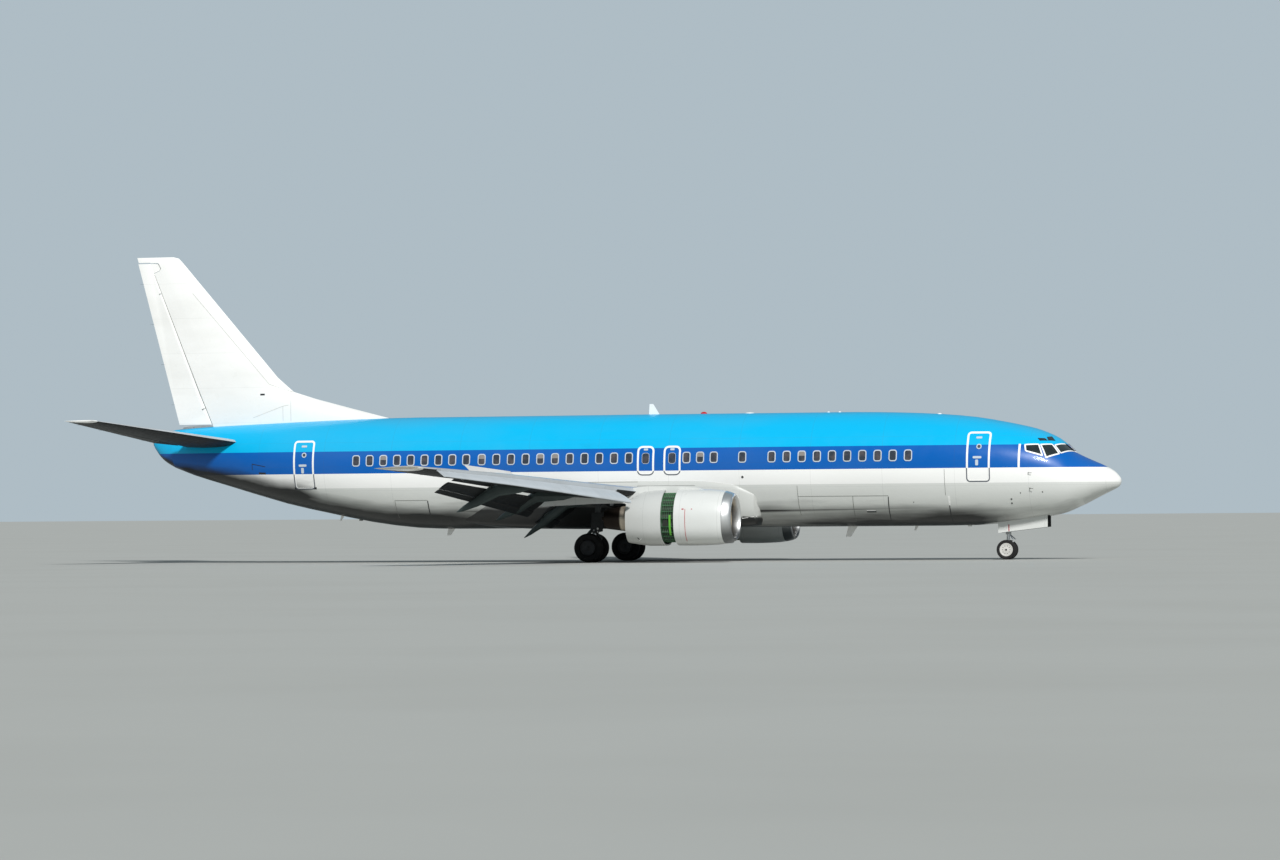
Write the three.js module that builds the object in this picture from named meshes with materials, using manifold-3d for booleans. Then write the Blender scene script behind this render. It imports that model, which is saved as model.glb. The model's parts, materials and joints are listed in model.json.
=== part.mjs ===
// A twin-engined narrow-body airliner standing on its landing gear, just after landing:
// slats and flaps down, outboard spoilers up and the thrust reverser sleeves slid aft.
// Millimetres. +X is forward, +Y is the left wing, +Z is up, and the ground is z = 0.
// X is measured from the middle of the overall length. The left side is modelled and mirrored.
import * as THREE from "three";
import { mergeVertices } from "three/addons/utils/BufferGeometryUtils.js";
import Module from "manifold-3d";

const wasm = await Module();
wasm.setup();

// Driving dimensions
const LENGTH = 36450;
const SPAN = 28880;
const HEIGHT = 11130;
const TAIL_SPAN = 12700;
const NOSE_GEAR_X = 14220;
const MAIN_GEAR_X = -50;
const MAIN_GEAR_Y = 2615;
const ENGINE_Y = 4830;
const ENGINE_Z = 1530;
const SEAT = 0.4; // gap left between two pieces that rest on each other
const RUN = 0.5; // gap between the end faces of a turning piece and what carries it
const CLOSE = [
  [SEAT, 0, 0],
  [-SEAT, 0, 0],
  [0, 0, SEAT],
  [0, 0, -SEAT],
];

const NOSE_X = LENGTH / 2;
const TAIL_X = -LENGTH / 2;
const TIP_Y = SPAN / 2;

const paint = (name, color, roughness = 0.35, metalness = 0) =>
  new THREE.MeshStandardMaterial({ name, color, roughness, metalness });
const MATERIALS = {
  blue: paint("fuselage_paint", 0x1f9fe0),
  grey: paint("lower_paint", 0xc9cbc9),
  white: paint("white_paint", 0xf2f2ee),
  wing: paint("wing_paint", 0xb4b9bc, 0.45),
  metal: paint("bare_aluminium", 0xc4c7ca, 0.3, 1),
  cascade: paint("green_primer", 0x5f8f5a, 0.6),
  dark: paint("dark_metal", 0x3a3d40, 0.5, 1),
  gear: paint("gear_enamel", 0xd4d6d6, 0.4),
  rubber: paint("tyre_rubber", 0x17181a, 0.85),
};

const v = (x, y, z) => new THREE.Vector3(x, y, z);
const mix = (a, b, t) => a + (b - a) * t;

// The row of a table at one value of its first column, between its rows in straight lines.
function rowAt(table, at) {
  const up = table[0][0] < table.at(-1)[0];
  const past = table.findIndex((row) => (up ? row[0] >= at : row[0] <= at));
  const i = past < 0 ? table.length - 1 : Math.max(past, 1);
  const [low, high] = [table[i - 1], table[i]];
  const share = (at - low[0]) / (high[0] - low[0]);
  return low.map((value, column) => mix(value, high[column], share));
}

function turnedOut(geometry) {
  const p = geometry.getAttribute("position");
  const index = geometry.index.array;
  const [a, b, c] = [v(0, 0, 0), v(0, 0, 0), v(0, 0, 0)];
  let volume = 0;
  for (let i = 0; i < index.length; i += 3) {
    a.fromBufferAttribute(p, index[i]);
    b.fromBufferAttribute(p, index[i + 1]);
    c.fromBufferAttribute(p, index[i + 2]);
    volume += a.dot(b.cross(c));
  }
  if (volume < 0)
    for (let i = 0; i < index.length; i += 3)
      [index[i + 1], index[i + 2]] = [index[i + 2], index[i + 1]];
  return geometry;
}

// A closed skin through rings of equal point count, with a fan over each end. The side from
// point j to the next is split along its other diagonal where otherWay(j, count) holds.
function loft(rings, otherWay = () => false) {
  const count = rings[0].length;
  const points = rings.flat();
  const faces = [];
  for (let i = 0; i + 1 < rings.length; i++)
    for (let j = 0; j < count; j++) {
      const [a, b] = [i * count + j, i * count + ((j + 1) % count)];
      if (otherWay(j, count)) faces.push(a, b, a + count, b, b + count, a + count);
      else faces.push(a, b, b + count, a, b + count, a + count);
    }
  const ends = [
    [0, false],
    [(rings.length - 1) * count, true],
  ];
  for (const [first, last] of ends) {
    if (count === 4) {
      const [a, b, c, d] = [0, 1, 2, 3].map((i) => first + i);
      faces.push(...(last ? [a, b, c, a, c, d] : [c, b, a, d, c, a]));
      continue;
    }
    const middle = points.length;
    const ring = points.slice(first, first + count);
    points.push(ring.reduce((sum, p) => sum.add(p), v(0, 0, 0)).divideScalar(count));
    for (let j = 0; j < count; j++) {
      const [a, b] = [first + j, first + ((j + 1) % count)];
      if (last) faces.push(middle, a, b);
      else faces.push(middle, b, a);
    }
  }
  const geometry = new THREE.BufferGeometry().setFromPoints(points);
  geometry.setIndex(faces);
  return turnedOut(geometry);
}

// For rings whose second half is the mirror of the first, so that the faces match too
const mirrorHalf = (j, count) => j >= count / 2;

function solid(geometry) {
  const bare = geometry.clone();
  bare.deleteAttribute("normal");
  bare.deleteAttribute("uv");
  const merged = mergeVertices(bare, 1e-3);
  return new wasm.Manifold(
    new wasm.Mesh({
      numProp: 3,
      vertProperties: new Float32Array(merged.attributes.position.array),
      triVerts: new Uint32Array(merged.index.array),
    }),
  );
}

function geometryOf(manifold) {
  const { vertProperties, triVerts } = manifold.getMesh();
  const geometry = new THREE.BufferGeometry();
  geometry.setAttribute("position", new THREE.BufferAttribute(vertProperties, 3));
  geometry.setIndex(new THREE.BufferAttribute(triVerts, 1));
  return geometry;
}

const joined = (...solids) => solids.reduce((all, one) => all.add(one));

// A piece cut by its neighbour, which is first shifted a little each given way, so a gap is left.
const cutBy = (piece, neighbour, ...ways) =>
  ways.reduce((rest, way) => rest.subtract(neighbour.translate(way)), piece);

const biggest = (piece) =>
  piece.decompose().sort((one, other) => other.volume() - one.volume())[0];

function box([x0, x1], [y0, y1], [z0, z1]) {
  const geometry = new THREE.BoxGeometry(x1 - x0, y1 - y0, z1 - z0);
  geometry.translate((x0 + x1) / 2, (y0 + y1) / 2, (z0 + z1) / 2);
  return solid(geometry);
}

function rod(from, to, radius, sides = 10, endRadius = radius) {
  const along = to.clone().sub(from);
  const geometry = new THREE.CylinderGeometry(endRadius, radius, along.length(), sides);
  geometry.applyQuaternion(
    new THREE.Quaternion().setFromUnitVectors(v(0, 1, 0), along.clone().normalize()),
  );
  const middle = from.clone().add(to).divideScalar(2);
  return solid(geometry.translate(middle.x, middle.y, middle.z));
}

// A flat plate with an outline of [x, z] corners, from one y to another.
function plate(corners, y0, y1) {
  const shape = new THREE.Shape(corners.map(([x, z]) => new THREE.Vector2(x, z)));
  const geometry = new THREE.ExtrudeGeometry(shape, { depth: y1 - y0, bevelEnabled: false });
  return solid(geometry.rotateX(Math.PI / 2).translate(0, y1, 0));
}

// A profile of [radius, along] points turned round the Y axis, flat side down.
function wheelTurned(profile, sides) {
  const points = profile.map(([radius, along]) => new THREE.Vector2(radius, along));
  const geometry = new THREE.LatheGeometry(points, sides);
  return turnedOut(mergeVertices(stripped(geometry.rotateY(Math.PI / sides)), 1e-3));
}

// A profile of [radius, x] points turned round the X axis.
function engineTurned(profile, sides) {
  const points = profile.map(([radius, x]) => new THREE.Vector2(radius, x));
  const geometry = new THREE.LatheGeometry(points, sides).rotateZ(-Math.PI / 2);
  return turnedOut(mergeVertices(stripped(geometry), 1e-3));
}

function stripped(geometry) {
  geometry.deleteAttribute("normal");
  geometry.deleteAttribute("uv");
  return geometry;
}

const airliner = new THREE.Group();

function add(name, shape, material, side = 1) {
  const geometry = shape.isBufferGeometry ? shape : geometryOf(shape);
  const mesh = new THREE.Mesh(geometry, material);
  mesh.name = name;
  mesh.scale.y = side;
  airliner.add(mesh);
  return mesh;
}

function addPair(name, shape, material) {
  add(`${name}_left`, shape, material);
  add(`${name}_right`, shape, material, -1);
}

// Fuselage
// Columns: x, top z, bottom z, z of the widest point, half width
const FUSELAGE = [
  [NOSE_X, 2775, 2640, 2705, 70],
  [18150, 2890, 2510, 2705, 230],
  [18000, 3045, 2420, 2710, 420],
  [17700, 3222, 2275, 2725, 680],
  [17300, 3400, 2072, 2760, 910],
  [16980, 3545, 1905, 2790, 1060],
  [16680, 3690, 1775, 2830, 1180],
  [16400, 3965, 1650, 2880, 1290],
  [16090, 4211, 1562, 2930, 1385],
  [15700, 4405, 1492, 3000, 1490],
  [15270, 4560, 1425, 3070, 1580],
  [14800, 4675, 1355, 3130, 1660],
  [14200, 4800, 1278, 3200, 1742],
  [13200, 4975, 1206, 3265, 1828],
  [12000, 5090, 1190, 3305, 1870],
  [10500, 5165, 1190, 3320, 1880],
  [8800, 5200, 1190, 3320, 1880],
  [2000, 5200, 1190, 3320, 1880],
  [-5600, 5200, 1195, 3320, 1880],
  [-7100, 5197, 1240, 3330, 1870],
  [-8800, 5178, 1452, 3400, 1800],
  [-10400, 5140, 1775, 3510, 1675],
  [-12000, 5080, 2130, 3640, 1490],
  [-13400, 5022, 2540, 3760, 1240],
  [-14600, 4966, 2895, 3880, 970],
  [-15600, 4905, 3200, 3990, 700],
  [-16300, 4850, 3466, 4090, 500],
  [-16800, 4760, 3730, 4200, 330],
  [-17100, 4600, 4180, 4380, 160],
];
const FUSELAGE_SIDES = 28;
const RADOME_X = 16980;
const CONE_X = -16300;
const TAIL_END_X = -17100;
const NOSE_BAY = { x: [13950, 15760], y: [-330, 330], z: [900, 1950] };
const CENTRE_BOX = { x: [-2600, 5000], z: 1750 };

function fuselageRing([x, top, bottom, wide, half], grow = 0) {
  return Array.from({ length: FUSELAGE_SIDES }, (_, i) => {
    const angle = (2 * Math.PI * i) / FUSELAGE_SIDES;
    const [across, up] = [Math.sin(angle), Math.cos(angle)];
    const rise = (up > 0 ? top - wide : wide - bottom) + grow;
    return v(x, across * (half + grow), wide + up * rise);
  });
}

function fuselageBetween(front, back, grow = 0) {
  const inside = FUSELAGE.filter(([x]) => x < front && x > back);
  const rows = [rowAt(FUSELAGE, front), ...inside, rowAt(FUSELAGE, back)];
  return solid(loft(rows.map((row) => fuselageRing(row, grow)), mirrorHalf));
}

const wholeFuselage = fuselageBetween(NOSE_X, TAIL_END_X, SEAT);

function buildFuselage() {
  const bay = box(NOSE_BAY.x, NOSE_BAY.y, NOSE_BAY.z);
  const underfloor = box(CENTRE_BOX.x, [-3000, 3000], [0, CENTRE_BOX.z]);
  const hull = fuselageBetween(RADOME_X, CONE_X).subtract(bay).subtract(underfloor);
  add("radome", fuselageBetween(NOSE_X, RADOME_X), MATERIALS.white);
  add("fuselage", joined(hull, ...BODY_PADS.map(jackPad)), MATERIALS.blue);
  add("tail_cone", fuselageBetween(CONE_X, TAIL_END_X), MATERIALS.blue);
}

// Wing-to-body fairing, with the wing's centre box and the main wheel wells in it
// Columns: x, half width, bottom z, z of the shoulder
const FAIRING = [
  [5700, 1380, 1420, 2000],
  [5560, 1700, 1260, 2330],
  [5000, 1880, 1180, 2560],
  [4000, 1945, 1165, 2660],
  [3000, 1960, 1160, 2690],
  [-1300, 1960, 1160, 2690],
  [-2800, 1860, 1170, 2480],
  [-4200, 1500, 1260, 2080],
  [-5300, 950, 1420, 1830],
];
const WHEEL_WELL = { x: -50, y: 690, radius: 560, top: 1600 };

// Columns: share of the half width, share of the way up from the bottom to the shoulder
const FAIRING_SHAPE = [
  [0.55, 0],
  [0.78, 0.05],
  [0.91, 0.2],
  [0.98, 0.45],
  [1, 0.75],
  [0.985, 1],
  [0.85, 1.24],
];

function fairingLoft(grow = 0) {
  return solid(
    loft(
      FAIRING.map(([x, half, bottom, shoulder]) => {
        const side = FAIRING_SHAPE.map(([across, up]) =>
          v(x, across * half + grow, mix(bottom, shoulder, up) - (up ? 0 : grow)),
        );
        const other = side.map((p) => v(x, -p.y, p.z)).reverse();
        return [...side, ...other];
      }),
      mirrorHalf,
    ),
  );
}

const fairingOutside = fairingLoft(SEAT);

function buildFairing() {
  const [back, front] = CENTRE_BOX.x;
  const kept = box([back + SEAT, front - SEAT], [-2900, 2900], [0, CENTRE_BOX.z - SEAT]);
  const pressureHull = wholeFuselage.subtract(kept);
  const wells = [1, -1].map((side) => {
    const { x, y, radius, top } = WHEEL_WELL;
    return rod(v(x, side * y, 900), v(x, side * y, top), radius, 20);
  });
  const fairing = fairingLoft().subtract(pressureHull).subtract(joined(...wells));
  const tracks = [bodyTrack(), bodyTrack().mirror([0, 1, 0])].map((track) => {
    const outside = track.subtract(pressureHull);
    return flapsAndWings.reduce((rest, other) => cutBy(rest, other, ...CLOSE), outside);
  });
  add("belly_fairing", biggest(joined(fairing, ...tracks)), MATERIALS.grey);
}

// Aerofoils
const thicknessAt = (u) =>
  5 *
  (0.2969 * Math.sqrt(u) -
    0.126 * u -
    0.3516 * u ** 2 +
    0.2843 * u ** 3 -
    0.1036 * u ** 4);

// A loop of [share of chord, half thickness share] round the foil from its nose to one cut.
function foilLoop(cut, steps = 7) {
  const shares = Array.from({ length: steps + 1 }, (_, i) => cut * (i / steps) ** 1.8);
  const upper = shares.map((u) => [u, thicknessAt(u)]);
  const lower = shares.slice(1).map((u) => [u, -thicknessAt(u)]);
  return [...lower.reverse(), ...upper];
}

// A loop round a control surface behind its hinge, its nose rounded about the hinge.
function flapLoop(hinge, end = 1, noseSteps = 4) {
  const half = thicknessAt(hinge);
  const nose = Array.from({ length: noseSteps + 1 }, (_, i) => {
    const angle = Math.PI * (i / noseSteps) - Math.PI / 2;
    return { hinge, half, angle };
  });
  const tip = Math.max(thicknessAt(end), 0.012);
  return [[end, -tip], ...nose, [end, tip]];
}

// Turns a loop into a ring. place gives the point for a share of the chord and a half thickness.
function foilRing(loop, chord, ratio, place) {
  return loop.map((p) => {
    if (Array.isArray(p)) return place(p[0] * chord, p[1] * ratio * chord);
    const radius = p.half * ratio * chord;
    const along = p.hinge * chord - Math.cos(p.angle) * radius;
    return place(along, Math.sin(p.angle) * radius);
  });
}

// Hinge brackets: an arm on the fixed part with a pin, in a slot of the moving surface
const BRACKET = { pin: 12, pinHalf: 46, arm: 15, slot: 24, sides: 8 };

// from and to are the ends of the hinge line, radii are the surface's nose radii there, and
// up lies across it. Gives what is added to the fixed part and cut from the other.
function brackets([from, to], radii, up, shares) {
  const axis = to.clone().sub(from).normalize();
  const forward = axis.clone().cross(up).normalize();
  if (forward.x < 0) forward.negate();
  const along = (p, distance) => p.clone().addScaledVector(axis, distance);
  const across = (p, half, radius) => rod(along(p, -half), along(p, half), radius, BRACKET.sides);
  const sets = shares.map((share) => {
    const radius = mix(...radii, share);
    const middle = mixed(from, to, share);
    const front = middle.clone().addScaledVector(forward, radius + HINGE_GAP + 40);
    const corner = (p, side, rise) =>
      along(p, side * BRACKET.arm).addScaledVector(up, rise * radius * 0.5);
    const ring = (p) => [corner(p, -1, -1), corner(p, 1, -1), corner(p, 1, 1), corner(p, -1, 1)];
    const { pin, pinHalf, slot, sides } = BRACKET;
    const round = Math.cos(Math.PI / sides);
    return {
      fixed: [solid(loft([ring(middle), ring(front)])), across(middle, pinHalf, pin)],
      cut: [
        across(middle, slot, (radius * 1.12) / round),
        across(middle, pinHalf + RUN, (pin + SEAT) / round),
      ],
    };
  });
  return {
    fixed: joined(...sets.flatMap((set) => set.fixed)),
    cut: joined(...sets.flatMap((set) => set.cut)),
  };
}

// The brackets of a wing-like surface, from the rows at the ends of its hinge.
function foilBrackets(rowOf, { from, to, hinge }, shares) {
  const rows = [rowOf(from), rowOf(to)];
  const ends = rows.map((row) => wingPlace(row)(hinge * row.chord, 0));
  const radii = rows.map((row) => thicknessAt(hinge) * row.ratio * row.chord);
  return brackets(ends, radii, v(0, 0, 1), shares);
}

const mixed = (from, to, share) => from.clone().lerp(to, share);

// Wing
const WING_KINK_Y = 4900;
// Columns: y, leading edge x, trailing edge x, z of the chord, thickness ratio
const WING = [
  [1500, 4390, -1490, 2137, 0.135],
  [WING_KINK_Y, 2220, -1490, 2444, 0.125],
  [10430, -656, -3160, 2958, 0.11],
  [14300, -2668, -4330, 3240, 0.105],
  [TIP_Y, -2790, -4360, 3252, 0.05],
];
const HINGE_GAP = 25;
const FIXED_NOSE = 0.035; // share of the chord that the slats leave in front of the fixed wing
const REAR_SPAR = 0.72;
const INBOARD_CUT_X = -350;
const FLAP_END_Y = 10430;
const AILERON = { from: 10460, to: 13400, hinge: 0.76 };
const SPOILER = {
  from: 7150,
  to: 9660,
  hinge: 0.73,
  chord: 600,
  thick: 34,
  edge: 10,
  tube: 14,
  raised: THREE.MathUtils.degToRad(54),
};
const LEG_BAY = { x: [-60, 460], y: [1300, 2950], top: 2200 };

function wingRow(y) {
  const [, leading, trailing, z, ratio] = rowAt(WING, y);
  return { y, leading, chord: leading - trailing, z, ratio };
}

const wingPlace = (row) => (along, up) => v(row.leading - along, row.y, row.z + up);

const TRAILING = 0.985; // share of the chord where the trailing edge is cut off square

// A whole wing or tailplane through rows that rowOf gives at some stations.
function foilLoft(stations, rowOf, steps = 7) {
  const rings = stations.map((y) => {
    const row = rowOf(y);
    return foilRing(foilLoop(TRAILING, steps), row.chord, row.ratio, wingPlace(row));
  });
  return solid(loft(rings));
}

// What is cut out behind one share of the chord. With a roof, a thin skin stays above it back to
// that share of the chord.
function bay(from, to, rowOf, cutOf, roof = 0) {
  const ring = (y) => {
    const row = rowOf(y);
    const place = (share, up) => wingPlace(row)(share * row.chord, up);
    const upper = (share) => thicknessAt(share) * row.ratio * row.chord;
    const [cut, high, end] = [cutOf(row), row.chord / 4, 1.3];
    const top = roof
      ? [place(roof, high), place(roof, upper(roof) - 12), place(cut, upper(cut) - 60)]
      : [place(cut, high)];
    return [place(cut, -high), place(end, -high), place(end, high), ...top];
  };
  return solid(loft([ring(from), ring(to)]));
}

const aileronCut = (row) =>
  AILERON.hinge - thicknessAt(AILERON.hinge) * row.ratio - HINGE_GAP / row.chord;

const sparCut = (row) =>
  row.y < WING_KINK_Y ? (row.leading - INBOARD_CUT_X) / row.chord : REAR_SPAR;

function wingSolid() {
  const bays = [
    bay(1400, WING_KINK_Y - 15, wingRow, sparCut, 0.88),
    bay(WING_KINK_Y, SPOILER.from - 20, wingRow, sparCut, 0.86),
    bay(SPOILER.from - 20, SPOILER.to + 20, wingRow, sparCut),
    bay(SPOILER.to + 20, FLAP_END_Y, wingRow, sparCut, 0.86),
    bay(AILERON.from - 30, AILERON.to + 30, wingRow, aileronCut),
    ...NOSE_CUTS.map(noseCut),
  ];
  const whole = foilLoft([1500, WING_KINK_Y, FLAP_END_Y, 14300, TIP_Y], wingRow);
  return bays.reduce((rest, one) => rest.subtract(one), whole);
}

// What is taken off the front of the wing, where the slats and nose flaps have moved away from.
// Columns: inner y, outer y
const NOSE_CUTS = [
  [2300, 3680],
  [5850, 13730],
];

function noseCut(ends) {
  const rings = ends.map((y) => {
    const row = wingRow(y);
    const place = wingPlace(row);
    const half = row.ratio * row.chord;
    const share = FIXED_NOSE * row.chord;
    return [place(-400, -half), place(share, -half), place(share, half), place(-400, half)];
  });
  return solid(loft(rings));
}

const legBay = box(LEG_BAY.x, LEG_BAY.y, [900, LEG_BAY.top]);

// Round pads with a flat underside, where a jack's head goes
// Columns: x, y, z of the flat face
const WING_PAD = [900, 3450, 1976];
const BODY_PADS = [
  [12900, 0, 1165],
  [-9300, 0, 1505],
];
const PAD = { radius: 70, deep: 150 };
const jackPad = ([x, y, z]) => rod(v(x, y, z), v(x, y, z + PAD.deep), PAD.radius, 12);

// The spoiler's hinge, just under the wing's upper skin.
function spoilerHinge(y) {
  const row = wingRow(y);
  const up = thicknessAt(SPOILER.hinge) * row.ratio * row.chord - SPOILER.thick / 2;
  return wingPlace(row)(SPOILER.hinge * row.chord, up);
}

const aileronBrackets = foilBrackets(wingRow, AILERON, [0.25, 0.75]);

const spoilerTube = (radius, past) =>
  rod(spoilerHinge(SPOILER.from - past), spoilerHinge(SPOILER.to + past), radius, 8);

const wing = biggest(
  joined(wingSolid(), jackPad(WING_PAD), aileronBrackets.fixed)
    .subtract(spoilerTube((SPOILER.tube + SEAT) / Math.cos(Math.PI / 8), 45 + RUN))
    .subtract(fairingOutside)
    .subtract(wholeFuselage)
    .subtract(legBay),
);

const spoilerPivot = spoilerHinge(SPOILER.from);
const spoilerAxis = spoilerHinge(SPOILER.to).sub(spoilerPivot).normalize();

// A panel of the wing's upper skin behind the hinge, swung up about it.
function spoilerPanel(from, to) {
  const { chord, thick, edge, raised } = SPOILER;
  const swung = (p) => p.sub(spoilerPivot).applyAxisAngle(spoilerAxis, raised).add(spoilerPivot);
  const ring = (y) => {
    const row = wingRow(y);
    const hinge = spoilerHinge(y);
    const end = SPOILER.hinge + chord / row.chord;
    const tail = wingPlace(row)(end * row.chord, thicknessAt(end) * row.ratio * row.chord);
    // Columns: the point measured from, how far below it
    const corners = [
      [hinge, thick / 2],
      [hinge, -thick / 2],
      [tail, 0],
      [tail, edge],
    ];
    return corners.map(([p, down]) => swung(v(p.x, p.y, p.z - down)));
  };
  return solid(loft([ring(from), ring(to)]));
}

function buildWing() {
  addPair("wing", wing, MATERIALS.wing);
  const middle = (SPOILER.from + SPOILER.to) / 2;
  const panels = [
    [SPOILER.from, middle - 8],
    [middle + 8, SPOILER.to],
  ].map(([from, to]) => spoilerPanel(from, to));
  addPair("spoilers", joined(...panels, spoilerTube(SPOILER.tube, 45)), MATERIALS.wing);
  const aileron = [AILERON.from, AILERON.to].map((y) => {
    const row = wingRow(y);
    return foilRing(flapLoop(AILERON.hinge), row.chord, row.ratio, wingPlace(row));
  });
  addPair("aileron", solid(loft(aileron)).subtract(aileronBrackets.cut), MATERIALS.wing);
}

// Slats ahead of the outer wing, and nose flaps ahead of the inner wing, all run out and down
// Columns: inner y, outer y
const SLATS = [
  [5880, 8380],
  [8400, 10980],
  [11000, 13700],
];
const NOSE_FLAPS = [
  [2350, 2985],
  [3005, 3640],
];

// Shares of the chord that the slats have moved forwards and down, and how far they have turned
const SLAT_MOVE = { forward: 0.145, down: 0.123, turn: THREE.MathUtils.degToRad(22) };

// The nose of the foil itself, moved forwards and down and turned nose down.
function slatRing(y) {
  const row = wingRow(y);
  const { forward, down, turn } = SLAT_MOVE;
  const outline = foilLoop(0.16, 6).filter(([u, t]) => t > 0 || u < 0.06);
  return outline.map(([u, t]) => {
    const [x, z] = [u, t * row.ratio];
    const along = x * Math.cos(turn) + z * Math.sin(turn) - forward;
    const up = z * Math.cos(turn) + x * Math.sin(turn) - down;
    return wingPlace(row)(along * row.chord, up * row.chord);
  });
}

function slatTrack(y) {
  const row = wingRow(y);
  const from = wingPlace(row)(-0.085 * row.chord, -0.098 * row.chord);
  const to = wingPlace(row)(0.07 * row.chord, 0);
  return rod(from, to, 28, 4);
}

// A hinged plate under the inner leading edge, swung out forwards, with a round front edge.
function noseFlapPanel(from, to) {
  const ring = (y) => {
    const row = wingRow(y);
    const place = wingPlace(row);
    const start = FIXED_NOSE * row.chord;
    return [
      place(start + 12, -70),
      place(start - 90, -30),
      place(start - 420, -190),
      place(start - 520, -260),
      place(start - 500, -320),
      place(start - 400, -270),
      place(start + 12, -130),
    ];
  };
  return solid(loft([ring(from), ring(to)]));
}

// The anti-icing duct that runs from slat to slat inside them.
function slatDuct(from, to) {
  const [start, end] = [from, to].map((y) => {
    const [low, high] = [slatRing(y).at(2), slatRing(y).at(-3)];
    return low.add(high).divideScalar(2);
  });
  return rod(start, end, 20, 6);
}

function buildSlats() {
  const slats = SLATS.map(([from, to]) => {
    const shell = solid(loft([slatRing(from), slatRing(to)]));
    const tracks = [mix(from, to, 0.2), mix(from, to, 0.8)].map(slatTrack);
    return joined(shell, ...tracks);
  });
  const duct = slatDuct(SLATS[0][0] + 60, SLATS.at(-1)[1] - 60);
  addPair("slats", cutBy(joined(...slats, duct), wing, [SEAT, 0, 0]), MATERIALS.wing);
  const panels = NOSE_FLAPS.map(([from, to]) => noseFlapPanel(from, to));
  const [start, end] = [NOSE_FLAPS[0][0] + 40, NOSE_FLAPS.at(-1)[1] - 40].map((y) => {
    const row = wingRow(y);
    return wingPlace(row)(FIXED_NOSE * row.chord - 60, -80);
  });
  const noseFlaps = joined(...panels, rod(start, end, 16, 6));
  addPair("nose_flaps", biggest(cutBy(noseFlaps, wing, [SEAT, 0, 0])), MATERIALS.wing);
}

// Slotted flaps, run out and down: a vane, the main flap and an aft flap
// Columns: y, x and z of the nose of the main flap, x and z of the aft flap's trailing edge
const OUTER_FLAP = [
  [5350, -965, 2230, -1650, 1618],
  [10400, -2950, 2800, -3490, 2470],
];
const INNER_FLAP = [
  [2080, -720, 2000, -1690, 1215],
  [4260, -760, 2170, -1700, 1440],
];
// Columns: start and end along the line from nose to trailing edge, drop below it, thickness
const FLAP_ELEMENTS = [
  [-0.36, -0.13, 0, 0.16],
  [0, 0.69, 0, 0.15],
  [0.65, 1, 0.035, 0.1],
];

// A function that gives the point so far along and above a flap's line at one y.
function flapPlace(table, y) {
  const [, noseX, noseZ, endX, endZ] = rowAt(table, y);
  const length = Math.hypot(endX - noseX, endZ - noseZ);
  const [dx, dz] = [(endX - noseX) / length, (endZ - noseZ) / length];
  return (along, up) => {
    const [s, h] = [along * length, up * length];
    return v(noseX + dx * s + dz * h, y, noseZ + dz * s - dx * h);
  };
}

function flapElement(table, [start, end, drop, ratio]) {
  const rings = table.map(([y]) => {
    const at = flapPlace(table, y);
    return foilRing(foilLoop(0.98, 5), end - start, ratio, (along, up) =>
      at(start + along, up - drop),
    );
  });
  return solid(loft(rings));
}

// A plate under the flap's three elements that holds them together.
function flapCarriage(table, y, half) {
  const at = flapPlace(table, y);
  // Columns: along, up
  const corners = [
    [-0.3, 0.01],
    [0.12, 0.0],
    [0.6, 0.0],
    [0.85, -0.04],
    [0.8, -0.12],
    [0.3, -0.2],
    [-0.1, -0.16],
  ].map(([along, up]) => at(along, up));
  const outline = corners.map((p) => [p.x, p.z]);
  return plate(outline, y - half, y + half);
}

const flapParts = (table) => FLAP_ELEMENTS.map((element) => flapElement(table, element));

// Boat-shaped fairings over the flap tracks, hanging down behind with the flaps
// Columns: y, x of the front, x of the kink, x and z of the tail, half width
const OUTER_TRACKS = [
  [8450, -600, -1750, -3263, 1790, 125],
  [6000, 350, -1100, -2560, 1500, 140],
];
const INNER_TRACKS = [[4130, 500, -500, -2080, 880, 125]];
const TRACK_SIDES = 8;

function trackFairing([y, frontX, kinkX, tailX, tailZ, half]) {
  const row = wingRow(y);
  const under = (x) => row.z - thicknessAt((row.leading - x) / row.chord) * row.ratio * row.chord;
  const kinkZ = under(kinkX) - 130;
  const second = mix(frontX, kinkX, 0.35);
  // Columns: x, z of the middle, share of the half width, half height
  const stations = [
    [frontX, under(frontX) - 10, 0.1, 20],
    [second, under(second) - 60, 0.7, 130],
    [kinkX, kinkZ, 1, 220],
    [mix(kinkX, tailX, 0.5), mix(kinkZ, tailZ, 0.5), 0.85, 190],
    [mix(kinkX, tailX, 0.85), mix(kinkZ, tailZ, 0.85), 0.4, 90],
    [tailX, tailZ, 0.08, 14],
  ];
  return solid(
    loft(
      stations.map(([x, z, share, high]) =>
        Array.from({ length: TRACK_SIDES }, (_, i) => {
          const angle = (2 * Math.PI * i) / TRACK_SIDES;
          return v(x, y + Math.cos(angle) * half * share, z + Math.sin(angle) * high);
        }),
      ),
    ),
  );
}

function flapSet(table, tracks) {
  const carriages = tracks.map(([y, , , , , half]) => flapCarriage(table, y, half * 0.35));
  const parts = [...flapParts(table), ...tracks.map(trackFairing), ...carriages];
  return biggest(cutBy(joined(...parts), wing, ...CLOSE));
}

// The short fairing of the innermost track, low on the side of the body
const BODY_TRACK = { y: 1890, half: 75, x: [-1790, -300], z: [1130, 1480] };

function bodyTrack() {
  const { y, half, x, z } = BODY_TRACK;
  const corners = [
    [x[1], z[1] + 60],
    [x[1], z[1] - 60],
    [x[0] + 250, z[0]],
    [x[0], z[0] + 50],
    [x[0] + 40, z[0] + 120],
  ];
  return plate(corners, y - half, y + half);
}

const outerFlap = flapSet(OUTER_FLAP, OUTER_TRACKS);
const innerFlap = flapSet(INNER_FLAP, INNER_TRACKS);
const leftParts = [wing, outerFlap, innerFlap];
const flapsAndWings = leftParts.flatMap((one) => [one, one.mirror([0, 1, 0])]);

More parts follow.
